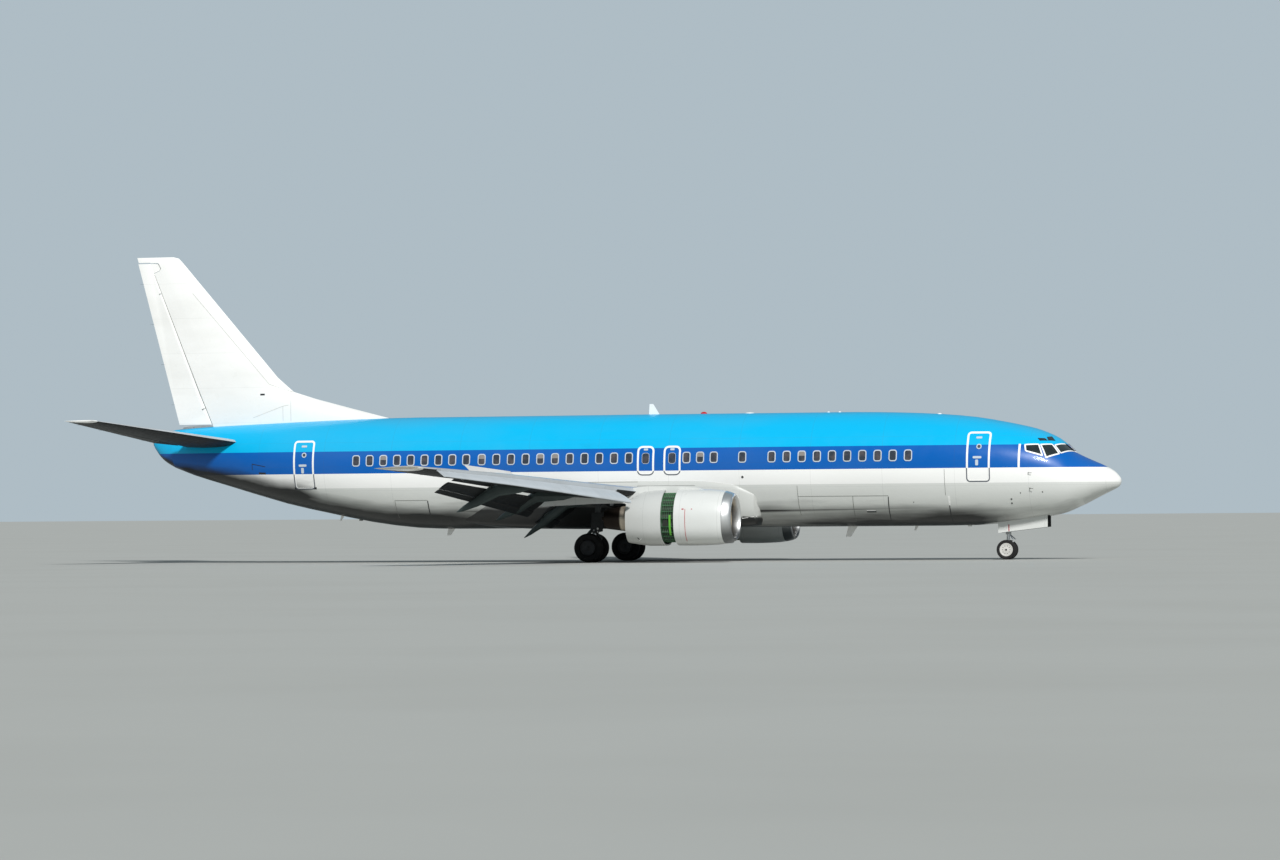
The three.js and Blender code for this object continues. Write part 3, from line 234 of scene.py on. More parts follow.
def livery_enamel(name, striped=True):
    # Polyurethane enamel, in stripes or plain grey: glossy, with faint lap seams, and painted shade under
    # the belly, streaked with dirt
    paint = bpy.context.scene.airliner_paint
    material = blank(name, 0.3, coat=0.1, specular=0.25)
    axes = axes_of(material)
    stripes = add(material, "ValToRGB", (add(material, "MapRange", (axes[2], 0.0, STRIPE_SPAN, 0.0, 1.0)),))
    ramp = stripes.node.color_ramp
    ramp.interpolation = "CONSTANT"
    ramp.elements[0].color = paint.grey
    ramp.elements[1].position = paint.belly_height / STRIPE_SPAN
    ramp.elements[1].color = paint.white
    ramp.elements.new(paint.stripe_height / STRIPE_SPAN).color = paint.dark_blue
    ramp.elements.new(paint.crown_height / STRIPE_SPAN).color = paint.light_blue
    streaks = {"Vector": place_in(material, (0.2, 1, 1)), "Scale": 2.0, "Detail": 6.0}
    streaks = add(material, "MapRange", (add(material, "TexNoise", streaks), 0.3, 0.7, -0.14, 0.14))
    # Painted shade: how far each face looks down, or lies under the wing, as stored on the hull's vertices
    below = add(material, "Attribute", out="Fac", attribute_name="underside")
    shade_and_streaks = add(material, "Math", (streaks, below), operation="ADD")
    shade_and_streaks = add(material, "MapRange", (shade_and_streaks, 0.10, 0.80, 0, 0.97))
    clean = stripes if striped else list(paint.fairing)
    painted = add(material, "Mix", {0: shade_and_streaks, 6: clean, 7: SHADE_AND_DIRT_TONE}, **MIX)
    painted = soiled(material, painted, "#8F8E86", 0.08, 1.6, ALONG)
    seams = seam_mask(material, axes[0], 2.54, 0.014), seam_mask(material, axes[2], 0.86, 0.010)
    seams = add(material, "Math", seams, operation="MAXIMUM")
    seams = add(material, "Math", (seams, 0.14), operation="MULTIPLY")
    painted = add(material, "Mix", {0: seams, 6: painted, 7: linear("#50524F")}, **MIX)
    return finished(material, painted, 0.35, 0.0025, (0.28, 0.38))


def gloss_enamel(name, code, soil="#8A8A84", share=0.12, seams=None):
    # Polyurethane enamel on aluminium sheet: even gloss, soft dirt along the flow, fine seams
    material = blank(name, 0.3, coat=0.15, specular=0.35)
    painted = soiled(material, code, soil, share, 0.9, (0.35, 1, 1))
    if seams:
        yaw, axis, pitch, width, strength = seams
        lines = seam_mask(material, axes_of(material, (0, 0, yaw))[axis], pitch, width)
        lines = add(material, "Math", (lines, strength), operation="MULTIPLY")
        painted = add(material, "Mix", {0: lines, 6: painted, 7: linear("#55574F")}, **MIX)
    return finished(material, painted, 0.3, 0.002, (0.26, 0.36))


def matt_paint(name, code, soil, share, rough=(0.45, 0.62), size=0.5):
    # Satin paint that the weather has dulled: broad soft highlights and streaked dirt
    material = blank(name, 0.5)
    return finished(material, soiled(material, linear(code), soil, share, size, ALONG), 0.12, 0.001, rough)


def bare_metal(name, code, rough, tarnish="#6E6A62", share=0.25, size=0.3):
    # Bare sheet or machined metal: mirror-like where it is polished, clouded by handling
    material = blank(name, rough[0], metallic=1.0)
    return finished(material, soiled(material, linear(code), tarnish, share, size), 0.05, 0.0004, rough)


def polished_lip():
    # Polished aluminium, mirror-like, with a painted reflection of the dark ground darkening it towards the
    # bottom
    material = blank("polished_aluminium", 0.2, metallic=1.0)
    # Painted reflection of the dark ground: the lip darkens from 1.5 m down to 0.95 m
    ground_reflection = add(material, "MapRange", (axes_of(material)[2], 1.5, 0.95, 0, 0.85))
    bright = soiled(material, linear("#F1F1EF"), "#B9BABA", 0.3, 0.3)
    dulled = add(material, "Mix", {0: ground_reflection, 6: bright, 7: linear("#4A4C4E")}, **MIX)
    return finished(material, dulled, 0.3, 0.0002, (0.34, 0.44))


def window_glass(name, drawn):
    # Stretched acrylic in front of a dim cabin: nearly black, or pale above where a blind is half down
    material = blank(name, 0.06, coat=0.5)
    blind = add(material, "MapRange", (axes_of(material)[2], 3.66, 3.67, 0, drawn))
    cabin = soiled(material, linear("#333A45"), "#6B5F5C", 0.7, 0.22)
    seen = add(material, "Mix", {0: blind, 6: cabin, 7: linear("#A39B94")}, **MIX)
    return finished(material, seen, 0.2, 0.0004, (0.05, 0.1))


def cockpit_glass():
    # Laminated glass in front of a dark flight deck: black, with a faint blue-green cast
    material = blank("laminated_glass", 0.05, coat=0.8)
    dark = soiled(material, linear("#1B2428"), "#3B463F", 0.4, 0.3)
    return finished(material, dark, 0.3, 0.0003, (0.04, 0.08))


def outline_enamel():
    # Painted band round a door: white on the blue stripes, dark grey where it runs onto the white
    material = blank("outline_enamel", 0.35, coat=0.2)
    level = bpy.context.scene.airliner_paint.stripe_height
    low = add(material, "Math", (axes_of(material)[2], level), operation="LESS_THAN")
    band = add(material, "Mix", {0: low, 6: linear("#F6F6F2"), 7: linear("#5C6068")}, **MIX)
    return finished(material, band, 0.05, 0.0005, (0.3, 0.42))


def tyre_rubber():
    # Natural rubber with carbon black: matt, scuffed paler where it meets the ground
    material = blank("tyre_rubber", 0.8)
    scuffed = soiled(material, linear("#0D0D0E"), "#2B2925", 0.5, 0.12)
    return finished(material, scuffed, 0.012, 0.0008, (0.7, 0.92))


def lamp_glass(name, code, glow):
    # Clear or coloured lamp cover: smooth, and faintly lit from behind
    material = blank(name, 0.08, coat=0.8)
    inputs = {
        "Base Color": soiled(material, linear(code), "#222222", 0.15, 0.05),
        "Emission Color": linear(code),
        "Emission Strength": glow,
    }
    for socket, value in inputs.items():
        plug(material, shader_of(material).inputs[socket], value)
    return material


def hot_metal():
    # Nickel alloy browned by heat, paler where the bypass air cools it in front; the brown is painted near
    # black, darker than the metal, as painted shade
    material = blank("heat_stained_nickel", 0.4, metallic=0.8)
    cool = add(material, "MapRange", (axes_of(material)[0], 1.60, 1.66, 0, 1))
    stain_and_shade = add(material, "Mix", {0: cool, 6: linear("#2E2620"), 7: linear("#D2C6B4")}, **MIX)
    return finished(material, soiled(material, stain_and_shade, "#1D1A18", 0.5, 0.3), 0.03, 0.0006, (0.32, 0.5))


def spinner_paint():
    # Satin dark paint with a white spiral, which shows from the ground that the fan turns
    material = blank("spinner_paint", 0.4, coat=0.2)
    axes = axes_of(material)
    across = add(material, "Math", (axes[1],), operation="ABSOLUTE")
    across = add(material, "Math", (across, ENGINE.y), operation="SUBTRACT")
    up = add(material, "Math", (axes[2], ENGINE.z), operation="SUBTRACT")
    flat = add(material, "CombineXYZ", (across, up))
    reach = add(material, "VectorMath", (flat,), "Value", operation="LENGTH")
    angle = add(material, "Math", (up, across), operation="ARCTAN2")
    wound = add(material, "Math", (reach, 16.0, angle), operation="MULTIPLY_ADD")
    turn = add(material, "Math", (wound, math.pi), operation="PINGPONG")
    line = add(material, "Math", (turn, 0.32), operation="LESS_THAN")
    near = add(material, "Math", (reach, 0.19), operation="LESS_THAN")
    mark = add(material, "Math", (line, near), operation="MULTIPLY")
    marked = add(material, "Mix", {0: mark, 6: linear("#2A2C2E"), 7: linear("#E8E8E4")}, **MIX)
    return finished(material, marked, 0.02, 0.0004, (0.32, 0.46))


def floor_paint():
    # Smooth studio floor: pale, matt and even
    material = blank("studio_floor", 0.85)
    tone = list(bpy.context.scene.airliner_stage.floor)
    return finished(material, soiled(material, tone, "#A8A8A2", 0.3, 9.0), 1.5, 0.002, (0.8, 0.9))


def paint_of(name):
    return list(getattr(bpy.context.scene.airliner_paint, name))


# Seams, where given: turn of the pattern, axis across them, pitch, width, strength
MAKERS = {
    "livery": lambda: livery_enamel("livery_enamel"),
    "fairing": lambda: livery_enamel("fairing_enamel", striped=False),
    "white": lambda: gloss_enamel("white_enamel", paint_of("white"), share=0.10),
    "fin": lambda: gloss_enamel(
        "fin_enamel", paint_of("white"), "#A9A69A", 0.16, (0, 2, 1.27, 0.014, 0.10)
    ),
    "wing_top": lambda: gloss_enamel(
        "wing_enamel", paint_of("wing_grey"), "#7D7F7C", 0.25, (math.radians(25), 0, 0.9, 0.012, 0.2)
    ),
    # The undersides are painted near black as painted shade of faces that look down or lie under the wing
    # and hull
    "shade_under": lambda: matt_paint("stained_underside", "#181C1E", "#101315", 0.6),
    "slat": lambda: matt_paint("slat_paint", "#BCC2C6", "#8D9192", 0.3, (0.3, 0.42)),
    "spoiler": lambda: matt_paint("spoiler_paint", "#DEDCD8", "#A2A19C", 0.3, (0.3, 0.42)),
    # Flap track fairings: dark grey as painted shade
    "track": lambda: matt_paint("track_fairing_paint", "#3E4A48", "#252B2A", 0.5),
    "nacelle": lambda: gloss_enamel(
        "nacelle_enamel", paint_of("nacelle"), "#8C8A80", 0.16, (0, 0, 1.3, 0.012, 0.2)
    ),
    "sleeve": lambda: gloss_enamel(
        "sleeve_enamel", linear("#C8C9C5"), "#8C8A80", 0.2, (0, 0, 1.3, 0.012, 0.2)
    ),
    "polished": polished_lip,
    "aluminium": lambda: bare_metal("bare_aluminium", "#B8BBBD", (0.32, 0.5)),
    "titanium": lambda: bare_metal("forged_titanium", "#8E8F90", (0.24, 0.36), "#5A5A5C", 0.4, 0.06),
    "steel": lambda: bare_metal("chromed_steel", "#DADCDD", (0.1, 0.2), "#8D8D8C", 0.2, 0.1),
    "green": lambda: matt_paint("green_primer", "#386641", "#1B321F", 0.6, size=0.12),
    "bright_green": lambda: matt_paint("anodised_green", "#62B436", "#2F6A22", 0.3, size=0.1),
    "liner": lambda: matt_paint("inlet_liner", "#B5A78F", "#7E7464", 0.3),
    "faint": lambda: matt_paint("faint_joint", "#CFD0CA", "#B4B5AF", 0.4),
    "seam": lambda: matt_paint("joint_sealant", "#74766F", "#5A5B56", 0.4),
    # Inside bays, wells, cascade cells and the tail vent: green-tinted primer painted near black as painted
    # shade in the recesses
    "cavity": lambda: matt_paint("cavity_primer", "#23281F", "#0E100D", 0.6),
    "hot": hot_metal,
    "spinner": spinner_paint,
    "gear": lambda: gloss_enamel("gear_enamel", linear("#C9CCCC"), "#55524A", 0.4),
    "hub": lambda: gloss_enamel("hub_enamel", linear("#D2D0CA"), "#3C3A36", 0.35),
    # Main wheel hubs and legs: dark as painted shade under the wing, with brake dust
    "dust_shade_hub": lambda: matt_paint("brake_dusted_hub", "#2C2E30", "#121212", 0.6, size=0.1),
    "dust_shade_gear": lambda: matt_paint("brake_dusted_leg", "#5F6364", "#26282A", 0.6, size=0.3),
    "dark": lambda: matt_paint("dark_fitting", "#26282B", "#3B3A37", 0.4),
    "red_mark": lambda: matt_paint("red_marking", "#B8323A", "#7C2A2C", 0.3),
    "blue_fitting": lambda: matt_paint("blue_fitting", "#1E4E8C", "#16304F", 0.3),
    "rubber": tyre_rubber,
    "glass": lambda: window_glass("window_acrylic", 0.0),
    "blind": lambda: window_glass("window_with_blind", 0.75),
    "cockpit": cockpit_glass,
    "frame": lambda: gloss_enamel("window_frame_enamel", linear("#C9D2DA"), "#7E8890", 0.3),
    "outline": outline_enamel,
    "red_lamp": lambda: lamp_glass("red_lamp", "#B01C1C", 0.35),
    "clear_lamp": lambda: lamp_glass("clear_lamp", "#D6D6CE", 0.25),
    "floor": floor_paint,
}
made = {}


def finish(key):
    """The material of that name, made when it is first asked for."""
    if key not in made:
        made[key] = MAKERS[key]()
    return made[key]


# Shaping

BESIDE = -2.4  # flat pieces are made upright here, right of the hull, and then laid on it
UPRIGHT = (math.pi / 2, 0, 0)
MARK_DEPTH = 0.003


def only(*pieces):
    """Selects these pieces and nothing else; the last one is active."""
    for other in list(bpy.context.selected_objects):
        other.select_set(False)
    for piece in pieces:
        piece.select_set(True)
        bpy.context.view_layer.objects.active = piece


def mode(name):
    bpy.ops.object.mode_set(mode=name)


def applied(piece):
    """Puts a piece's place, turn and size into its mesh."""
    only(piece)
    bpy.ops.object.transform_apply(location=True, rotation=True, scale=True)
    return piece


def ends(piece):
    """The lowest and highest corner of a piece's own mesh."""
    return [[pick(corner[i] for corner in piece.bound_box) for i in range(3)] for pick in (min, max)]


def held(piece, low, high):
    """Keeps a piece inside the box between two corners."""
    for vertex in piece.data.vertices:
        vertex.co = [min(max(vertex.co[i], low[i]), high[i]) for i in range(3)]


def pick_sharp(piece, angle):
    """Selects the edges of a piece that are sharper than an angle, for edit mode."""
    only(piece)
    mode("EDIT")
    bpy.ops.mesh.select_mode(type="EDGE")
    bpy.ops.mesh.select_all(action="DESELECT")
    bpy.ops.mesh.edges_select_sharp(sharpness=angle)


def edit(piece, *steps):
    """Runs each step on the whole of a piece in edit mode."""
    only(piece)
    mode("EDIT")
    for step in steps:
        bpy.ops.mesh.select_all(action="SELECT")
        step()
    mode("OBJECT")


def pick_faces(piece, test):
    """Selects the faces of a piece that pass a test, for edit mode."""
    only(piece)
    mode("EDIT")
    bpy.ops.mesh.select_mode(type="FACE")
    bpy.ops.mesh.select_all(action="DESELECT")
    mode("OBJECT")
    for face in piece.data.polygons:
        face.select = bool(test(face))
    mode("EDIT")


def settle(piece, name, finishes, body):
    """Ends a piece: its name, finishes, and the body that it rides on."""
    applied(piece)
    piece.name = piece.data.name = name
    for key in finishes:
        piece.data.materials.append(finish(key))
    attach(piece, body)
    return piece


def paint_faces(piece, index, test):
    """Gives the faces that pass a test another of the piece's finishes."""
    for face in piece.data.polygons:
        if test(face.center, face.normal):
            face.material_index = index


def smooth(piece, degrees):
    only(piece)
    bpy.ops.object.shade_smooth_by_angle(angle=math.radians(degrees))


def rounded(piece, sharp):
    """Splits each smooth edge of a piece once and bows it out, so that its facets become a curve."""
    low, high = ends(piece)
    pick_sharp(piece, math.radians(sharp))
    mode("OBJECT")
    still = {v for edge in piece.data.edges if edge.select for v in edge.vertices}
    for face in piece.data.polygons:
        face.select = False
    for vertex in piece.data.vertices:
        vertex.select = False
    for edge in piece.data.edges:
        edge.select = not still.intersection(edge.vertices)
    mode("EDIT")
    bpy.ops.mesh.subdivide(number_cuts=1, smoothness=1.0)
    mode("OBJECT")
    held(piece, low, high)
    smooth(piece, sharp)


CURVE_LEVELS = 2
CURVE_STEPS = 4


def curved(piece, sharp, steps=CURVE_STEPS):
    """Turns a piece's facets into curves, drawn through its corners in a few steps; sharp edges stay."""
    low, high = ends(piece)
    angle = math.radians(sharp)
    edit(
        piece,
        lambda: bpy.ops.mesh.quads_convert_to_tris(quad_method="BEAUTY", ngon_method="BEAUTY"),
        lambda: bpy.ops.mesh.tris_convert_to_quads(face_threshold=angle, shape_threshold=math.pi / 2),
    )
    pick_sharp(piece, angle)
    bpy.ops.transform.edge_crease(value=1.0)
    mode("OBJECT")
    aim = [vertex.co.copy() for vertex in piece.data.vertices]
    modifier = piece.modifiers.new("curves", "SUBSURF")
    modifier.levels = modifier.render_levels = CURVE_LEVELS
    modifier.use_limit_surface = False
    for _ in range(steps):
        shown = piece.evaluated_get(bpy.context.evaluated_depsgraph_get()).data
        off = [goal - spot.co for goal, spot in zip(aim, shown.vertices)]
        for vertex, step in zip(piece.data.vertices, off):
            vertex.co += step
        piece.data.update()
    bpy.ops.object.modifier_apply(modifier=modifier.name)
    held(piece, low, high)
    smooth(piece, sharp)


def dressed(node, finishes, degrees):
    """A merged and smooth copy of a CAD node, shown in its place."""
    source = frame["nodes"][node]
    body = source["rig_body"]
    only(source)
    bpy.ops.object.duplicate()
    piece = bpy.context.object
    del piece["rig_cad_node"]
    piece.data.materials.clear()
    edit(
        piece,
        lambda: bpy.ops.mesh.remove_doubles(threshold=0.0001),
        lambda: bpy.ops.mesh.dissolve_limited(angle_limit=math.radians(0.2)),
    )
    bpy.ops.mesh.customdata_custom_splitnormals_clear()
    settle(piece, node + "_surface", finishes, body)
    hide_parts(node)
    smooth(piece, degrees)
    return piece


def apply_modifier(piece, kind, **settings):
    """Adds a modifier to a piece and applies it."""
    only(piece)
    modifier = piece.modifiers.new(kind.lower(), kind)
    for key, value in settings.items():
        setattr(modifier, key, value)
    bpy.ops.object.modifier_apply(modifier=modifier.name)


def rounded_plate(x, z, width, height, corner, borders):
    """An upright plate right of the aircraft, with round corners and bands inside its edge."""
    bpy.ops.mesh.primitive_plane_add(size=1, location=(x, BESIDE, z), rotation=UPRIGHT)
    plate = bpy.context.object
    plate.scale = (width, height, 1)
    applied(plate)
    edit(plate, lambda: bpy.ops.mesh.bevel(offset=corner, affect="VERTICES", segments=4))
    mode("EDIT")
    bpy.ops.mesh.select_all(action="SELECT")
    for border in borders:
        bpy.ops.mesh.inset(thickness=border)
    mode("OBJECT")
    return plate


def framed(plate, edge, middle):
    """Gives a plate its two finishes: one round its edge, one for the face inside."""
    plate.data.materials.append(finish(edge))
    plate.data.materials.append(finish(middle))
    max(plate.data.polygons, key=lambda face: face.area).material_index = 1
    return plate


def ribbon(start, end, width, key, facing=(0, -1, 0)):
    """A flat strip between two points, in short lengths so that it can bend."""
    start, end = Vector(start), Vector(end)
    along = end - start
    side = Vector(facing).cross(along).normalized()
    turn = Matrix((along.normalized(), side, along.cross(side).normalized())).transposed()
    steps = max(1, round(along.length / 0.08))
    bpy.ops.mesh.primitive_grid_add(x_subdivisions=steps, y_subdivisions=1, size=1)
    piece = bpy.context.object
    size = (along.length, width, 1)
    piece.matrix_world = Matrix.LocRotScale((start + end) / 2, turn.to_quaternion(), size)
    applied(piece).data.materials.append(finish(key))
    return piece


def marks(name, rows, target, y=BESIDE, body="airframe", both=True):
    """Thin lines laid on the right side of a piece, and on the left one where they run there too."""
    strips = [ribbon((x1, y, z1), (x2, y, z2), width, key) for x1, z1, x2, z2, width, key in rows]
    piece = joined(strips)
    laid_on(piece, skin_of(target), MARK_DEPTH)
    settle(piece, name + "_right", [], body)
    if both:
        mirrored(piece, name + "_left", body.replace("right", "left"))
    return piece


def skin_of(node):
    return bpy.data.objects[node + "_surface"]


def touch(target, start, way):
    """Where a line from a point first meets a piece's surface, and the way the surface faces."""
    hit, place, normal, _ = skin_of(target).ray_cast(Vector(start), Vector(way))
    if not hit:
        raise ValueError(f"nothing of {target} lies ahead of {start}")
    return place, normal


def joined(pieces):
    """Several pieces as one mesh."""
    only(*pieces)
    if len(pieces) > 1:
        bpy.ops.object.join()
    return bpy.context.object


def laid_on(piece, target, thick, method="PROJECT", gap=0.003):
    """Lays a flat piece on a surface and gives it its thickness, outwards."""
    settings = {"target": target, "wrap_method": method, "wrap_mode": "ABOVE_SURFACE", "offset": gap}
    if method == "PROJECT":
        settings.update(use_project_y=True, use_negative_direction=True, use_positive_direction=True)
        settings.update(project_limit=2.0)
    apply_modifier(piece, "SHRINKWRAP", **settings)
    apply_modifier(piece, "SOLIDIFY", thickness=thick, offset=1.0)


def mirrored(piece, name, body):
    """The piece's mirror image on the other side of the aircraft."""
    only(piece)
    bpy.ops.object.duplicate()
    twin = bpy.context.object
    twin.scale.y = -1
    bpy.ops.object.transform_apply(location=True, rotation=True, scale=True)
    edit(twin, lambda: bpy.ops.mesh.normals_make_consistent(inside=False))
    twin.name = twin.data.name = name
    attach(twin, body)
    return twin


def pair(piece, name, finishes=(), degrees=None):
    """Ends a piece on the right side of the hull, and makes the one on the left."""
    settle(piece, name + "_right", finishes, "airframe")
    if degrees:
        smooth(piece, degrees)
    mirrored(piece, name + "_left", "airframe")


def rod(start, end, radius, sides=10):
    """A round rod between two points, with its ends softened."""
    start, end = Vector(start), Vector(end)
    way = end - start
    bpy.ops.mesh.primitive_cylinder_add(
        vertices=sides,
        radius=radius,
        depth=way.length,
        location=(start + end) / 2,
        rotation=way.to_track_quat("Z", "Y").to_euler(),
    )
    piece = bpy.context.object
    edit(piece, lambda: bpy.ops.mesh.bevel(offset=radius * 0.25, segments=1, affect="EDGES"))
    return applied(piece)


def blade(place, chord, height, thick, sweep=0.3, up=1):
    """A small fin-shaped aerial or mast, standing on a point."""
    x, y, z = place
    bpy.ops.mesh.primitive_cube_add(size=1, location=(x, y, z + up * height / 2))
    piece = bpy.context.object
    piece.scale = (chord, thick, height)
    applied(piece)
    for vertex in piece.data.vertices:
        if (vertex.co.z - z) * up > height / 2:
            vertex.co.x = x + (vertex.co.x - x) * 0.55 - sweep * height
            vertex.co.y = y + (vertex.co.y - y) * 0.5
    edit(piece, lambda: bpy.ops.mesh.bevel(offset=min(chord, thick) * 0.3, segments=2, affect="EDGES"))
    return piece


def turned(points, centre, axis="X", steps=48):
    """A closed profile of (radius, along) pairs turned once round an axis through the centre."""
    bpy.ops.mesh.primitive_circle_add(vertices=len(points), radius=1)
    piece = bpy.context.object
    centre = Vector(centre)
    way = {"X": (1, 0, 0), "Y": (0, 1, 0), "Z": (0, 0, 1)}[axis]
    out = Vector((1, 0, 0)) if axis == "Z" else Vector((0, 0, 1))
    for vertex, (radius, along) in zip(piece.data.vertices, points):
        vertex.co = centre + out * radius + Vector(way) * along
    edit(
        piece,
        lambda: bpy.ops.mesh.spin(steps=steps, angle=2 * math.pi, center=centre, axis=way),
        lambda: bpy.ops.mesh.remove_doubles(threshold=0.0001),
        lambda: bpy.ops.mesh.normals_make_consistent(inside=False),
    )
    return piece


# Hull


def hull():
    """Fuselage, radome, tail cone and belly fairing in their striped paint."""
    for node, hidden in (
        ("fuselage", in_nose_bay),
        ("radome", None),
        ("tail_cone", None),
        ("belly_fairing", in_wheel_well),
    ):
        piece = dressed(node, ["fairing" if node == "belly_fairing" else "livery", "cavity"], 30)
        if node in ("fuselage", "radome"):
            rounded(piece, 35)
        else:
            curved(piece, 35, steps=0)
        if hidden:
            # Walls of the nose bay and wheel wells take the cavity finish: painted shade
            paint_faces(piece, 1, hidden)
        store_painted_shade(piece)


# Painted shade on the belly, from the nose aft: darker where a face looks down, and sooner under the
# tailplane.
# Columns: where the zone ends, how far down a face has to look there for the shade to start, and how much
# further for it to be full
SHADE_ZONES = [(8, 0.56, 0.30), (-11, 0.50, 0.32), (-math.inf, 0.3, 0.4)]


def store_painted_shade(piece):
    """Stores on each vertex how far it faces down, or lies low, for the painted shade on the belly and under
    the wing.
    """
    layer = piece.data.attributes.new("underside", "FLOAT", "POINT")
    for vertex, cell in zip(piece.data.vertices, layer.data):
        start, width = next(zone[1:] for zone in SHADE_ZONES if vertex.co.x > zone[0])
        shade_and_dirt = (-vertex.normal.z - start) / width
        # On the belly fairing, painted shadow of the wing: dark below 1.62 m ahead of x = 3, and below 2.32
        # m aft of x = 1.5
        if piece.name.startswith("belly_fairing"):
            behind = min(1.0, max(0.0, (3.0 - vertex.co.x) / 1.5))
            shade_and_dirt = max(shade_and_dirt, (1.62 + 0.7 * behind - vertex.co.z) / (0.16 + 0.4 * behind))
        shade_and_dirt = min(1.0, max(0.0, shade_and_dirt))
        cell.value = shade_and_dirt * min(1.0, max(0.25, (15.5 - vertex.co.x) / 2.5))


NOSE_BAY = (13.9, 15.8, 0.34)  # aft end, front end, half width
BAY_ROOF = 1.9
WELL = (-0.05, 0.69, 0.575)  # middle along and across, radius


def in_nose_bay(middle, normal):
    """Faces of the bay that the nose gear stands in."""
    aft, fore, half = NOSE_BAY
    wall = abs(normal.y) > 0.9 or abs(normal.x) > 0.9 or middle.z > BAY_ROOF
    return wall and aft < middle.x < fore and abs(middle.y) < half and middle.z < BAY_ROOF + 0.1


def in_wheel_well(middle, normal):
    """Faces of the two round wells that the main wheels fold into."""
    x, y, radius = WELL
    return math.hypot(middle.x - x, abs(middle.y) - y) < radius and 1.17 < middle.z < 1.7


FRAME_RAISE = 0.006  # how far a window frame stands out of its pane
# Windows with a blind half down, counted from the rear
BLINDS = (2, 9, 13, 14, 21, 26)
# Groups of cabin windows: x of the first, how many, and the pitch
WINDOW_ROWS = [(-8.92, 9, 0.5125), (-4.25, 11, 0.537), (3.2, 3, 0.49), (5.2, 1, 0.5), (6.25, 10, 0.537)]


def cabin_windows():
    """Cabin windows on both sides, each a dark pane in a raised frame."""
    cabin = bpy.context.scene.airliner_cabin
    wide, high, level = cabin.window_width, cabin.window_height, cabin.window_level
    plates = []
    for start, count, pitch in WINDOW_ROWS:
        for i in range(count):
            x = start + i * pitch
            plate = rounded_plate(x, level, wide, high, wide * 0.32, [cabin.window_frame])
            plates.append(framed(plate, "frame", "blind" if len(plates) in BLINDS else "glass"))
    windows = joined(plates)
    laid_on(windows, skin_of("fuselage"), 0.005)
    pick_faces(windows, lambda face: face.material_index == 0 and face.normal.y < -0.8)
    bpy.ops.mesh.extrude_region_shrink_fatten(TRANSFORM_OT_shrink_fatten={"value": FRAME_RAISE})
    mode("OBJECT")
    pair(windows, "cabin_windows", degrees=40)


# Doors and exits: name, middle x, middle z, width, height, corner radius
DOORS = [
    ("front_door", 13.52, 3.57, 0.82, 1.74, 0.13),
    ("rear_door", -10.94, 3.515, 0.80, 1.74, 0.13),
    ("front_exit", 2.68, 3.545, 0.62, 1.03, 0.18),
    ("rear_exit", 1.725, 3.545, 0.62, 1.03, 0.18),
]


def doors_and_exits():
    """Painted outlines of the doors and overwing exits, with their windows and handles."""
    band = bpy.context.scene.airliner_cabin.outline
    skin = skin_of("fuselage")
    for name, x, z, width, height, corner in DOORS:
        outline = rounded_plate(x, z, width, height, corner, [band * 0.55, band * 0.45])
        outline.data.materials.append(finish("outline"))
        outline.data.materials.append(finish("white"))
        widest = max(outline.data.polygons, key=lambda face: face.area).index
        pick_faces(outline, lambda face: face.index == widest)
        mode("OBJECT")
        for face in outline.data.polygons:
            past_x = abs(face.center.x - x) - width / 2 + corner
            past_z = abs(face.center.z - z) - height / 2 + corner
            depth = corner - math.hypot(max(past_x, 0), max(past_z, 0)) - min(0, max(past_x, past_z))
            face.material_index = 1 if depth > band * 0.55 else 0
        mode("EDIT")
        bpy.ops.mesh.delete(type="FACE")
        mode("OBJECT")
        edit(outline, lambda: bpy.ops.mesh.subdivide(number_cuts=8))
        laid_on(outline, skin, 0.005)
        pair(outline, name + "_outline")
        details = door_details(name, x, z)
        laid_on(details, skin, 0.008)
        pair(details, name + "_details")


def door_details(name, x, z):
    """The window and handle of a door or exit, flat, before they are laid on the skin."""
    cabin = bpy.context.scene.airliner_cabin
    if "door" in name:
        rows = [
            (x + 0.02, z + 0.35, 0.18, 0.18, 0.085, 0.035, "glass"),
            (x - 0.03, z - 0.02, 0.30, 0.08, 0.03, 0.02, "frame"),
            (x - 0.04, z - 0.20, 0.10, 0.20, 0.03, 0.02, "frame"),
            (x, z + 0.66, 0.20, 0.07, 0.02, 0.015, "frame"),
        ]
    else:
        wide, high = cabin.window_width * 0.92, cabin.window_height * 0.95
        rows = [
            (x, z + 0.08, wide, high, 0.09, 0.012, "glass"),
            (x, z + 0.39, 0.15, 0.07, 0.02, 0.015, "frame"),
        ]
    return joined(
        [
            framed(rounded_plate(px, pz, wide, high, corner, [border]), "frame", middle)
            for px, pz, wide, high, corner, border, middle in rows
        ]
    )


# Corners of the right-hand cockpit panes, from the windscreen aft, and of the two above them
PANES = [
    [(16.075, -0.849, 3.948), (16.356, -0.300, 3.969), (16.654, -0.080, 3.708), (16.285, -0.962, 3.672)],
    [(15.628, -1.120, 3.950), (15.958, -0.927, 3.949), (16.203, -1.059, 3.662), (15.828, -1.320, 3.546)],
    [(15.118, -1.307, 3.953), (15.509, -1.164, 3.961), (15.673, -1.353, 3.602), (15.166, -1.424, 3.758)],
    [(15.477, -0.926, 4.189), (15.687, -0.804, 4.178), (15.787, -0.837, 4.107), (15.560, -0.985, 4.108)],
    [(15.758, -0.665, 4.223), (15.878, -0.477, 4.231), (16.021, -0.625, 4.107), (15.823, -0.804, 4.107)],
]
PANE_BORDER = 0.055
BROW_BORDER = 0.012


